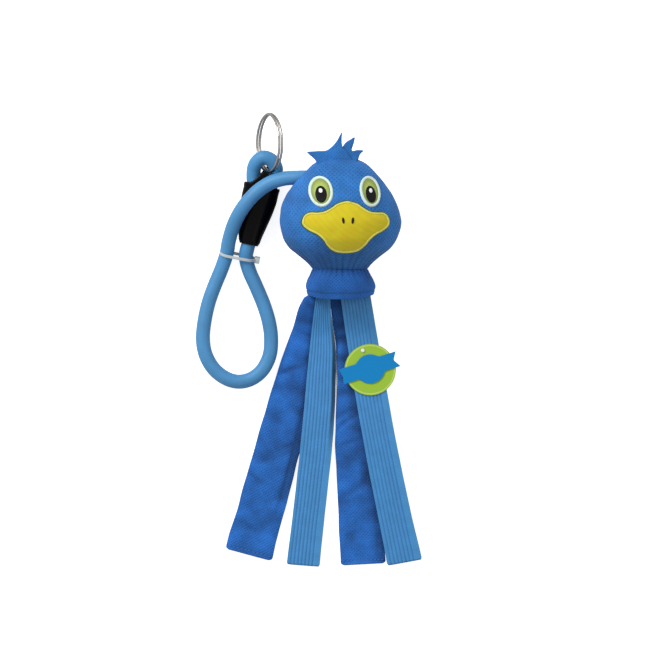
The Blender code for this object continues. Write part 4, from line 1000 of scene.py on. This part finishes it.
class TUG_OT_beak(bpy.types.Operator):
    """Adds the beak, its stitched border and the nostrils"""

    bl_idname = "tug.beak"
    bl_label = "Beak"

    def execute(self, context):
        face = context.scene.tug_face
        tree = head_tree()
        half = [(x * face.beak_width / 2, y * face.beak_height / 2 - face.beak_drop) for x, y in BEAK_SHARES]
        loop = half + [(-x, y) for x, y in half[-2:0:-1]]
        points = through([(*p, 0.0) for p in loop + loop[:2]], 8)[4:8 * len(loop) + 4]
        outline = [p.to_2d() for p in points][::-1]
        border = 1.6 * MM
        cloth = brushed_twill("brushed polyester twill, yellow", face.beak, "d6bb14")
        sew(
            tree, "beak_cloth", inset(outline, border * 0.55), Vector((0.0, -face.beak_drop)),
            (0.0, 0.8, 1.6, 0.7), cloth, "felt", "beak_patch", rows=16,
        )
        # Painted shadow: a dark olive felt ring just outside the beak's border stands in for the shadow under
        # the stitched edge, and for the appliqué's dark cut edge
        felt = brushed_twill("felt, dark olive, beak's cut edge and painted shadow", "35562f", "2a4a3c")
        edge, inner = inset(outline, -0.8 * MM), inset(outline, 0.5 * MM)
        sew(tree, "beak_cut_edge_and_shadow", edge, inner, (0.0, 0.45, 0.4, 0.0), felt, "felt", rows=6)
        sew(
            tree, "beak_border_thread", outline, inset(outline, border), (0.0, 1.0, 0.7, 0.15),
            satin_thread("rayon satin stitch, pale yellow", face.border, face.thread), "border_thread",
            "beak_border", rows=8,
        )
        stitched(
            "beak_border_stitches", [stitch_line(tree, inset(outline, border * 0.5), 1.0 * MM)],
            twisted_thread("rayon thread, pale yellow", face.border), "head", "border_thread",
            Spacing=face.thread, Length=border * 0.95, Width=face.thread * 0.95, Height=0.5 * MM,
        )
        black = satin_thread("rayon satin stitch, black", "2a1b0b", 0.5 * MM, dim=0.5, shine=0.12)
        for side, sign in (("left", -1), ("right", 1)):
            spot = Vector((sign * 3.2 * MM, -5.1 * MM))
            edge = around_oval(1.8 * MM, 4.3 * MM, 32, spot, -sign * 0.12)
            sew(
                tree, "nostril_thread_" + side, edge, spot, (1.2, 1.95, 0.5, 0.0), black, "black_thread",
                "nostril_" + side, rows=6,
            )
        return {"FINISHED"}


class TUG_OT_eyes(bpy.types.Operator):
    """Adds the two embroidered eyes"""

    bl_idname = "tug.eyes"
    bl_label = "Eyes"

    def execute(self, context):
        face = context.scene.tug_face
        tree = head_tree()
        white = satin_thread("rayon satin stitch, white", face.rim, face.thread, dim=0.8)
        lime = satin_thread(
            "rayon satin stitch, lime", face.iris, face.thread * 0.8, dim=0.78, edge=2.8 * MM,
        )
        black = satin_thread("rayon satin stitch, near black", "0c0a0d", 0.6 * MM, dim=0.6, shine=0.12)
        bright = twisted_thread("rayon thread, white", "f2f6f4")
        for side, sign in (("left", -1), ("right", 1)):
            name = side + "_eye_"
            spot = Vector((sign * face.eye_spacing / 2, face.eye_rise))
            pupil = spot - Vector((0.0, 2.2 * MM))
            glint = pupil + Vector((0.0, 2.3 * MM))
            lean = sign * math.radians(4)
            # The right eye is turned away from the camera, and sewn a little narrower
            width = face.eye_width * (1.0 if side == "left" else 0.95)
            # The lime field reaches 0.4 mm under the rim
            outer, inner, under = (
                around_oval(width - less, face.eye_height - less, 96, spot, lean)
                for less in (0.0, 2 * face.eye_rim, 2 * face.eye_rim - 0.8 * MM)
            )
            for kind, edge, goal, measures, look, slot, node, rows in (
                ("rim", outer, inner, (0.0, 0.95, 0.7, 0.15), white, "white_thread", "white", 10),
                ("iris", under, spot, (0.0, 0.75, 0.6, 0.2), lime, "lime_thread", "green", 12),
                ("pupil", around_oval(7.8 * MM, 12.0 * MM, 64, pupil, lean), pupil, (0.5, 1.15, 0.7, 0.25),
                 black, "black_thread", "pupil", 12),
                ("glint", around_oval(2.7 * MM, 3.4 * MM, 32, glint, lean), glint, (1.0, 1.6, 0.6, 0.1),
                 bright, "white_thread", "glint", 6),
            ):
                sew(tree, name + kind + "_thread", edge, goal, measures, look, slot, name + node, rows=rows)
        return {"FINISHED"}


def tuft_mesh(name, shares, middle_z, thick, lean):
    """One layer of the tuft: two cloths sewn edge to edge, a little puffed, its spikes curling up."""
    base = Vector((*TUFT_FOOT, middle_z))
    points = through([(x, y, 0.0) for x, y in (shares[-1], *shares, *shares[:2])], 6)[6:-12]
    curve = bpy.data.curves.new(name, "CURVE")
    curve.dimensions = "2D"
    curve.fill_mode = "BOTH"
    curve.extrude = 0.15 * MM
    curve.bevel_depth = thick / 2 - 0.15 * MM
    curve.bevel_resolution = 3
    curve.offset = -curve.bevel_depth
    spline = curve.splines.new("POLY")
    spline.points.add(len(points) - 1)
    for made, point in zip(spline.points, points):
        made.co = (point.x * TUFT_WIDTH / 2, point.y * TUFT_HEIGHT, 0.0, 1.0)
    spline.use_cyclic_u = True
    obj = placed(name + "_outline", curve)
    grid = obj.modifiers.new("even grid", "REMESH")
    grid.mode = "VOXEL"
    grid.voxel_size = 0.42 * MM
    soft = obj.modifiers.new("soft", "SMOOTH")
    soft.factor, soft.iterations = 0.5, 6
    mesh = settled(name, obj)
    layer = mesh.uv_layers.new(name="UVMap")
    for loop in mesh.loops:
        layer.data[loop.index].uv = mesh.vertices[loop.vertex_index].co.xy
    for vertex in mesh.vertices:
        co = vertex.co
        tall = co.y / TUFT_HEIGHT
        puff = lumps((co.x, co.y, 0.0), 5 * MM, 3.0)
        curl = lean * tall * tall + 0.8 * MM * math.sin(co.x / (6 * MM) + 1.0) * tall
        vertex.co = base + Vector((co.x, co.y, co.z * (1 + 0.24 * puff) + curl + 0.25 * MM * puff))
    return mesh


class TUG_OT_tuft(bpy.types.Operator):
    """Adds the two layers of the tuft"""

    bl_idname = "tug.tuft"
    bl_label = "Tuft"

    def execute(self, context):
        look = mesh_cloth("air mesh polyester, tuft", context.scene.tug_cloth.head_blue, 1.5 * MM, 0.0, 0.3)
        for side, shares, lean in (
            ("front", TUFT_FRONT_SHARES, 1.2 * MM), ("back", TUFT_BACK_SHARES, 0.2 * MM),
        ):
            low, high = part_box("tuft_" + side)
            mesh = tuft_mesh("tuft_cloth_" + side, shares, (low[2] + high[2]) / 2, 1.7 * MM, lean)
            piece("tuft_cloth_" + side, mesh, look, "head", "mesh_fabric", "tuft_" + side)
        return {"FINISHED"}


def droop(y, root_z, flat_z):
    """A strap's height at y: it falls from its root to where it lies flat."""
    return root_z + (flat_z - root_z) * ramp(STRAP_HINGE_Y - y, 0.0, STRAP_DROOP)


def strap_ends(strap, width, share, root_z, flat_z, corner=0.0, bow=0.0):
    """The left and right edge of a strap at a share of its length.

    Its far corners are rounded by the corner given, and its middle is bowed to the right by the bow given.
    """
    root_x, length, degrees, widths = strap
    angle = math.radians(degrees)
    half = width / 2 * along(widths, share)[0]
    left = length * (1 - share)
    if left < corner:
        half -= corner - math.sqrt(corner * corner - (corner - left) ** 2)
    turn = angle * min(share / 0.35, 1.0)
    half /= math.cos(angle - turn)
    x = root_x - math.sin(angle) * length * share + bow * math.sin(math.pi * share)
    y = STRAP_ROOT_Y - math.cos(angle) * length * share
    ends = []
    for side in (-1, 1):
        px, py = x + side * half * math.cos(turn), y - side * half * math.sin(turn)
        ends.append(Vector((px, py, droop(py, root_z, flat_z))))
    return ends


def crease_field(side):
    """Creases on a fabric strap: place along and across it, slope, width, reach and share of the depth."""
    dice = random.Random(11 if side == "left" else 23)
    found = []
    for i in range(15):
        found.append((
            0.05 + 0.062 * i + dice.uniform(-0.02, 0.02), dice.uniform(-0.35, 0.35),
            dice.uniform(-0.7, 0.7), dice.uniform(1.6, 3.6) * MM, dice.uniform(7, 14) * MM,
            dice.uniform(0.35, 1.0),
        ))
    return found


def fabric_strap_mesh(side):
    """A flat sleeve of cloth over its elastic: puckers, creases, a fold line and a seamed end."""
    strap = FABRIC_STRAPS[side]
    length = strap[1]
    deepest = bpy.context.scene.tug_cloth.crease_depth
    creases = crease_field(side)
    around, rows = 56, 250
    rings, flat, shades = [], [], []
    for k in range(rows + 1):
        share = (k - 2) / (rows - 2)
        left, right = strap_ends(strap, FABRIC_WIDTH, share, FABRIC_ROOT_Z, FABRIC_THICK / 2, 2.4 * MM)
        if side == "right":
            left.x += along(RIGHT_STRAP_EDGE, share)[0]
        else:
            left.x -= 2.8 * MM * (1 - ramp(share, 0.02, 0.14)) * ramp(share, -0.012, 0.006)
        wide = (right - left).length
        # Where the elastic's edge lies across the strap, and how dark its shade is
        if side == "left":
            start, tucked = -0.12 + 0.66 * share, 1 - ramp(share, 0.66, 0.78)
        else:
            start, tucked = -0.55 + 0.845 * share, 1 - 0.4 * ramp(share, 0.85, 1.0)
        ring = []
        shades.append([])
        for i in range(around):
            a = -math.pi / 2 + 2 * math.pi * i / around
            x, z = oval(0.5, FABRIC_THICK / 2, 3.0, a)
            spot = left.lerp(right, 0.5 + x)
            sink = 0.0
            if z > 0:
                run = share * length
                for place, middle, slope, width, reach, depth in creases:
                    off = run - place * length - slope * (x - middle) * wide
                    sink += depth * math.exp(-(off / width) ** 2 - ((x - middle) * wide / reach) ** 2)
                sink = min(sink, 1.4) * deepest * (1 - 0.4 * ramp(share, 0.68, 0.85))
                # Even puckers along the strap, and the groove of the seam across its end
                sink += 0.22 * MM * (1 - math.cos(2 * math.pi * run / (length / 15))) / 2
                sink += 0.5 * MM * math.exp(-((length - run - 2.6 * MM) / (0.6 * MM)) ** 2)
                # A fold line along the strap, beyond which the cloth lies lower
                fold = 0.34 + 0.05 * noise.noise(Vector((run / (30 * MM), 1.0, 0.0)))
                strength = (1 - ramp(share, 0.72, 0.85)) * ramp(share, 0.05, 0.2) if side == "left" else 0.2
                sink += strength * 1.1 * MM * math.exp(-((x - fold) * wide / (1.0 * MM)) ** 2)
                sink += strength * 0.4 * MM * ramp(x, fold, fold + 0.04)
                sink += 0.3 * MM * (0.5 + lumps(spot, 7 * MM, 4.0))
                z = max(z - sink * min(z / (0.8 * MM), 1.0), min(z, 0.66 * MM))
            wave = 0.7 * MM * lumps(spot, 17 * MM, 8.0) * ramp(abs(x), 0.2, 0.5) * ramp(share, 0.1, 0.3)
            # The cloth turns down beside the elastic, and lies in its shade there
            shaded = 0.75 * ramp(x, start - 0.05, start + 0.18) * tucked
            # Painted shade: darker in the creases, beside the elastic and on the underside
            shades[-1].append(min(0.8 * max(sink - 0.28 * MM, 0.0) / MM + shaded, 0.95) if z > 0 else 0.3)
            ring.append(Vector((spot.x + wave, spot.y, max(spot.z + z, FLOOR_CLEAR))))
        rings.append(ring)
        flat.append([(u, share * length) for u in ring_lengths(ring)])
    return skin("fabric_strap_cloth_" + side, rings, flat, creases=shades)


def elastic_strap_mesh(side):
    """A woven elastic band: rounded ribs between narrow grooves on both faces, cut square at its end."""
    elastic = bpy.context.scene.tug_elastic
    strap = ELASTIC_STRAPS[side]
    length = strap[1]
    steps = elastic.ribs * 8
    rows = 130
    bow = (2.2 if side == "left" else -1.8) * MM
    rings, flat, shades = [], [], []
    for k in range(rows + 1):
        share = (k - 1) / (rows - 1)
        left, right = strap_ends(strap, ELASTIC_WIDTH, share, ELASTIC_ROOT_Z, ELASTIC_FLAT_Z, 0.8 * MM, bow)
        turned = pushed = rolled = 0.0
        if side == "left":
            # Its right edge rolls down over the strap beside it
            turned = swell(share, 0.12, 0.24, 0.4, 0.65)
            pushed = swell(share, 0.03, 0.22, 0.34, 0.9)
            rolled = swell(share, 0.03, 0.16, 0.36, 0.62)
        right.x += 2.6 * MM * pushed
        free = ramp(share, 0.1, 0.3)
        ring, row = [], []
        shades.append([])
        for face in (1, -1):
            for i in range(steps + 1):
                s = i / steps if face > 0 else 1 - i / steps
                groove = elastic.groove_depth * (0.5 + 0.5 * math.cos(2 * math.pi * elastic.ribs * s)) ** 2
                groove *= swell(s, 0.03, 0.08, 0.8, 0.86)
                spot = left.lerp(right, s)
                drift = 0.3 * MM * lumps(spot, 26 * MM, 6.0 + face)
                spot.z += face * (ELASTIC_THICK / 2 - groove) + 0.25 * MM * lumps(spot, 30 * MM, 2.0) * free
                spot.x += drift * free
                spot.z -= 2.4 * MM * turned * ramp(s, 0.84, 1.0)
                # Painted shade on the rolled-down edge beside the strap
                shades[-1].append(0.9 * rolled * ramp(s, 0.84, 0.9))
                ring.append(spot)
                row.append((s * ELASTIC_WIDTH, share * length))
        rings.append(ring)
        flat.append(row + row[:1])
    return skin("elastic_band_" + side, rings, flat, creases=shades)


def seam_line(strap):
    """Stitches across a fabric strap's end: each point, the way it rises and the way a stitch lies."""
    left, right = strap_ends(strap, FABRIC_WIDTH, SEAM_SHARE, FABRIC_ROOT_Z, FABRIC_THICK / 2)
    way = (right - left).normalized()
    first, last = left + way * SEAM_INSET + UP * SEAM_LIFT, right - way * SEAM_INSET + UP * SEAM_LIFT
    return [(first.lerp(last, k / 20), UP, way) for k in range(21)]


class TUG_OT_straps(bpy.types.Operator):
    """Adds the fabric straps with their seams, and the ribbed elastic straps"""

    bl_idname = "tug.straps"
    bl_label = "Straps"

    def execute(self, context):
        cloth = context.scene.tug_cloth
        sleeve = mesh_cloth("air mesh polyester, straps", cloth.blue, cloth.strap_pitch, 0.12, 0.35, 0.17)
        band = ribbed_elastic("knitted elastic webbing")
        thread = twisted_thread("polyester thread, blue", "3f83cf")
        for side in ("left", "right"):
            body = side + "_fabric_strap"
            piece(
                "fabric_strap_cloth_" + side, fabric_strap_mesh(side), sleeve, body, "strap_fabric",
                "fabric_strap_" + side + "_cover",
            )
            stitched(
                "fabric_strap_stitches_" + side, [seam_line(FABRIC_STRAPS[side])], thread, body,
                "strap_fabric", Spacing=2.6 * MM, Length=2.0 * MM, Width=0.5 * MM, Height=0.4 * MM,
            )
            piece(
                "elastic_band_" + side, elastic_strap_mesh(side), band, side + "_elastic_strap", "elastic",
                "elastic_strap_" + side,
            )
        return {"FINISHED"}


class TUG_OT_tube(bpy.types.Operator):
    """Adds the rubber tube and its fold above the clamp"""

    bl_idname = "tug.tube"
    bl_label = "Tube"

    def execute(self, context):
        tube = context.scene.tug_tube
        look = extruded_rubber("extruded latex rubber", tube.blue)
        fold = list(FOLD_UP)
        for degrees in (-10, 10, 30, 60, 90, 120, 150, 170, 190):
            a = math.radians(degrees)
            rise = FOLD_TOP - FOLD_RADIUS + FOLD_RADIUS * math.sin(a)
            climb = max((rise - FOLD_CLIMB) / (FOLD_TOP - FOLD_CLIMB), 0.0)
            reach = FOLD_RADIUS * math.cos(a) * (0.72 if degrees > 90 else 1.0)
            fold.append((-1.8 * MM + reach, rise, FOLD_CLIMB * climb))
        fold += FOLD_DOWN
        bent = [CLAMP_MOUTH + CLAMP_ACROSS * x + CLAMP_ALONG * y + UP * z for x, y, z in fold]
        route = through(TUBE_ROUTE, 6)
        for name, points, node in (
            ("rubber_tube", route, "bungee_tube"), ("rubber_tube_fold", through(bent, 8), "tube_eye"),
        ):
            mesh = tube_mesh(name, points, tube.diameter / 2, 32)
            piece(name, mesh, look, "head", "tube_rubber", node)
        return {"FINISHED"}


def clamp_half_mesh(name, start, rise, reach, peak):
    """Half of the clamp's shell: a long pod that narrows to its foot, its mouth cut on the slant to a tongue.

    reach is how far the tongue stands out of the mouth, and peak is where it does so across the clamp.
    """
    columns, rows = 30, 36
    loops, flat = [], []
    profile = [(k / rows, 0.0) for k in range(rows + 1)]
    profile += [(1 - k / rows, CLAMP_WALL) for k in range(rows + 1)]
    for j in range(columns + 1):
        angle = start + math.pi * j / columns
        loop, row = [], []
        for share, deep in profile:
            width, thick, squareness = along(CLAMP_SHARES, share)
            lip = heel = 0.0
            if not deep:
                lip = 0.35 * MM * (ramp(share, 0.93, 0.96) - ramp(share, 0.985, 1.0))
                heel = 0.9 * MM * (1 - ramp(share, 0.0, 0.05))
            half = CLAMP_WIDTH / 2 * width - deep + lip - heel
            x, z = oval(half, CLAMP_THICK / 2 * thick - deep + lip - heel, squareness, angle)
            if x < 0:
                # The left flank is fuller near the foot
                x *= 1.0 + 0.1 * swell(share, 0.0, 0.15, 0.35, 0.6)
            tongue = reach * swell(x, -10.0 * MM, peak, peak, peak + 4.0 * MM)
            run = CLAMP_LENGTH * share + tongue * ramp(share, 0.8, 1.0)
            loop.append(CLAMP_FOOT + CLAMP_ALONG * run + CLAMP_ACROSS * x + UP * (z + rise))
            row.append((angle * CLAMP_WIDTH / 2, share * CLAMP_LENGTH))
        loops.append(loop)
        flat.append(row + row[:1])
    return skin(name, loops, flat)


def ring_line(radius):
    """The split ring's wire: two turns, slanting and rising from one to the next."""
    right, ahead = Vector((math.cos(RING_TILT), 0.0, math.sin(RING_TILT))), Vector((0.0, 1.0, 0.0))
    steps = 96
    found = []
    for i in range(2 * steps + 1):
        a = math.pi / 2 + 2 * math.pi * i / steps
        spot = RING_MIDDLE + (right * math.cos(a) + ahead * math.sin(a)) * radius
        found.append(spot + right.cross(ahead) * (RING_PITCH * (i / steps - 1)))
    return found


class TUG_OT_clamp(bpy.types.Operator):
    """Adds the clamp's two shells, the cable tie and the split ring"""

    bl_idname = "tug.clamp"
    bl_label = "Clamp, tie and ring"

    def execute(self, context):
        tube = context.scene.tug_tube
        black = moulded("polypropylene, black", "030304", 0.26, 0.4, shine=0.07)
        # The lower shell's tongue reaches far under the tube's fold: partly the clamp's black mouth, partly a
        # dark part put where there is only shadow in the fold's loop
        for side, start, rise, reach, peak in (
            ("upper", 0.0, CLAMP_SPLIT / 2, 11.0 * MM, 1.8 * MM),
            ("lower", math.pi, -CLAMP_SPLIT / 2, 18.5 * MM, 5.2 * MM),
        ):
            name = "clamp_shell_" + side
            mesh = clamp_half_mesh(name, start, rise, reach, peak)
            piece(name, mesh, black, "head", "clamp_plastic", "clamp_" + side + "_half")
            mesh.set_sharp_from_angle(angle=math.radians(50))
        clear = moulded("nylon, clear", "c9d3d4", 0.3, 0.6, alpha=0.8)
        tie = refined("tie_band", "cable_tie", clear, "head", "tie_nylon", 0.15 * MM)
        for vertex in tie.data.vertices:
            vertex.co.x = max(vertex.co.x, TIE_TURN) + min(vertex.co.x - TIE_TURN, 0.0) * TIE_DRAWN
        wire = tube.ring_wire / 2
        mesh = tube_mesh(
            "ring_wire", ring_line(tube.ring_outer / 2 - wire),
            lambda share: wire * min(1.0, 0.55 + 30 * min(share, 1 - share)), 14,
        )
        steel = nickel_wire("nickel-plated spring wire")
        piece("ring_wire", mesh, steel, "split_ring", "ring_steel", "split_ring")
        return {"FINISHED"}


def ribbon_mesh(name):
    """The card band across the tag: swallow-tailed ends and a round middle that flows into its edges."""
    low, high = (Vector(corner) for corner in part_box("tag_band"))
    long, wide = 20.9 * MM, 5.5 * MM
    radius, lower, soft = 10.2 * MM, 0.8 * MM, 2.0 * MM
    sides = []
    for side, notch in ((1, 1.0 * MM), (-1, 3.4 * MM)):
        edge = [(side * long, side * wide)]
        for k in range(49):
            x = side * radius * (1 - k / 24)
            tall = math.sqrt(max(radius * radius - x * x, 0.0)) - side * lower
            blend = max(soft - abs(tall - wide), 0.0) ** 2 / (4 * soft)
            edge.append((x, side * (max(tall, wide) + blend)))
        edge += [(-side * long, side * wide), (side * (notch - long), 0.0)]
        sides += edge
    bm = bmesh.new()
    face = bm.faces.new([bm.verts.new((x, y, 0.0)) for x, y in sides])
    grown = bmesh.ops.extrude_face_region(bm, geom=[face])["geom"]
    top = [part for part in grown if isinstance(part, bmesh.types.BMVert)]
    bmesh.ops.translate(bm, vec=(0.0, 0.0, high.z - low.z), verts=top)
    bmesh.ops.recalc_face_normals(bm, faces=bm.faces)
    rims = []
    for edge in bm.edges:
        level = abs(edge.verts[0].co.z - edge.verts[1].co.z) < MM / 10
        if level and edge.calc_face_angle() > math.radians(60):
            rims.append(edge)
    rounded(bm, rims, 0.08 * MM)
    about = Vector(((low.x + high.x) / 2 - 0.3 * MM, (low.y + high.y) / 2 + 1.3 * MM, low.z))
    bm.transform(Matrix.Translation(about) @ Matrix.Rotation(math.radians(18.0), 4, "Z"))
    mesh = bpy.data.meshes.new(name)
    bm.to_mesh(mesh)
    bm.free()
    mesh.set_sharp_from_angle(angle=math.radians(20))
    return mesh


class TUG_OT_tag(bpy.types.Operator):
    """Adds the hang tag and its pin"""

    bl_idname = "tug.tag"
    bl_label = "Hang tag"

    def execute(self, context):
        tag = context.scene.tug_tag
        low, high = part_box("tag_disc")
        middle = ((low[0] + high[0]) / 2, (low[1] + high[1]) / 2, high[2])
        radius = (high[0] - low[0]) / 2
        green = coated_card("coated card, green", tag.green, "c9dc7a", middle, radius - 1.1 * MM)
        blue = coated_card("coated card, blue", tag.blue)
        card = refined("tag_card", "tag_disc", green, "hang_tag", "lime_card", 0.08 * MM)
        card.data.set_sharp_from_angle(angle=math.radians(20))
        piece("tag_ribbon", ribbon_mesh("tag_ribbon"), blue, "hang_tag", "blue_card", "tag_band")
        white = moulded("nylon, white", "eef0ee", 0.35)
        refined("tag_fastener", "tag_pin", white, "right_elastic_strap", "nylon_pin", 0.1 * MM)
        return {"FINISHED"}


class TUG_OT_inside(bpy.types.Operator):
    """Gives the pieces inside their finishes"""

    bl_idname = "tug.inside"
    bl_label = "Inner pieces"

    def execute(self, context):
        tape = woven_tape("polyester tape, blue", "1d4f97")
        core = woven_tape("elastic core, white", "dcdcd6")
        looks = {
            "head_filling": fibre_fill("polyester fibre", "e8e8e4"), "neck_band": tape,
            "sewn_strap_ends": tape, "fabric_strap_left_core": core, "fabric_strap_right_core": core,
            "tube_end_stop": moulded("acetal, grey", "8a8c8e", 0.4),
        }
        for name, look in looks.items():
            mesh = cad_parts[name].data
            mesh.materials.clear()
            mesh.materials.append(look)
        return {"FINISHED"}


class TUG_OT_stage(bpy.types.Operator):
    """Adds the white floor, the lamps, the sky and the camera"""

    bl_idname = "tug.stage"
    bl_label = "Stage"

    def execute(self, context):
        stage = context.scene.tug_stage
        made, tree, shader = finish_named(
            "matt white floor", Base_Color=(0.9, 0.9, 0.9, 1.0), Roughness=1.0, Specular_IOR_Level=0.0,
            Emission_Color=(1.0, 1.0, 1.0, 1.0),
        )
        seen = add(tree, "LightPath").outputs["Is Camera Ray"]
        glow = add(tree, "Math", {0: seen, 1: stage.floor_glow}, operation="MULTIPLY")
        feed(shader, {"Emission Strength": glow})
        mesh = bpy.data.meshes.new("floor")
        bm = bmesh.new()
        bmesh.ops.create_grid(bm, x_segments=1, y_segments=1, size=3.0)
        bm.to_mesh(mesh)
        bm.free()
        mesh.materials.append(made)
        floor = placed("floor", mesh)
        floor.location.z = CAD_BOX[0][2]
        world = bpy.data.worlds.new("studio")
        context.scene.world = world
        world.use_nodes = True
        tree = world.node_tree
        tree.nodes.clear()
        path = add(tree, "LightPath").outputs
        seen = path["Is Camera Ray"]
        for ray in ("Is Glossy Ray", "Is Transmission Ray"):
            seen = add(tree, "Math", {0: seen, 1: path[ray]}, operation="MAXIMUM")
        strength = add(tree, "MapRange", {"Value": seen, "To Min": stage.sky})
        sky = add(tree, "Background", {"Color": (1.0, 1.0, 1.0, 1.0), "Strength": strength})
        add(tree, "OutputWorld", {"Surface": sky})
        middle = Vector((stage.view_x, stage.view_y, 0.0))
        for name, place, wide, power in (
            ("key lamp", Vector((-0.85, 0.9, 0.95)), 0.7, stage.key),
            ("side lamp", Vector((0.8, 0.1, 1.0)), 0.8, stage.key * 0.13),
        ):
            lamp = bpy.data.lights.new(name, "AREA")
            lamp.size = wide
            lamp.energy = power
            obj = placed(name, lamp)
            obj.location = middle + place
            obj.rotation_euler = (-place).to_track_quat("-Z", "Y").to_euler()
        data = bpy.data.cameras.new("camera")
        data.sensor_width = 36.0
        data.lens = data.sensor_width * stage.distance / stage.field
        data.clip_end = 20.0
        camera = placed("camera", data)
        camera.location = middle + UP * stage.distance
        context.scene.camera = camera
        context.scene.view_settings.view_transform = "Standard"
        return {"FINISHED"}


OPERATORS = (
    TUG_OT_stage, TUG_OT_head, TUG_OT_beak, TUG_OT_eyes, TUG_OT_tuft, TUG_OT_straps, TUG_OT_clamp,
    TUG_OT_tube, TUG_OT_tag, TUG_OT_inside,
)


class TUG_PT_panel(bpy.types.Panel):
    """Lists the tug toy's pieces and sizes"""

    bl_idname = "TUG_PT_panel"
    bl_label = "Tug Toy"
    bl_space_type = "VIEW_3D"
    bl_region_type = "UI"
    bl_category = "Tug Toy"

    def draw(self, context):
        for operator in OPERATORS:
            self.layout.operator(operator.bl_idname)
        for key in GROUPS:
            box = self.layout.box()
            group = getattr(context.scene, key)
            for name in group.bl_rna.properties.keys():
                if name not in ("rna_type", "name"):
                    box.prop(group, name)


def register():
    for kind in (*GROUPS.values(), *OPERATORS, TUG_PT_panel):
        bpy.utils.register_class(kind)
    for key, kind in GROUPS.items():
        setattr(bpy.types.Scene, key, bpy.props.PointerProperty(type=kind))


def unregister():
    for key in GROUPS:
        delattr(bpy.types.Scene, key)
    for kind in reversed((*GROUPS.values(), *OPERATORS, TUG_PT_panel)):
        bpy.utils.unregister_class(kind)


def main():
    register()
    bpy.ops.tug.stage()
    bpy.ops.tug.head()
    bpy.ops.tug.beak()
    bpy.ops.tug.eyes()
    bpy.ops.tug.tuft()
    bpy.ops.tug.straps()
    bpy.ops.tug.clamp()
    bpy.ops.tug.tube()
    bpy.ops.tug.tag()
    bpy.ops.tug.inside()


if __name__ == "__main__":
    main()
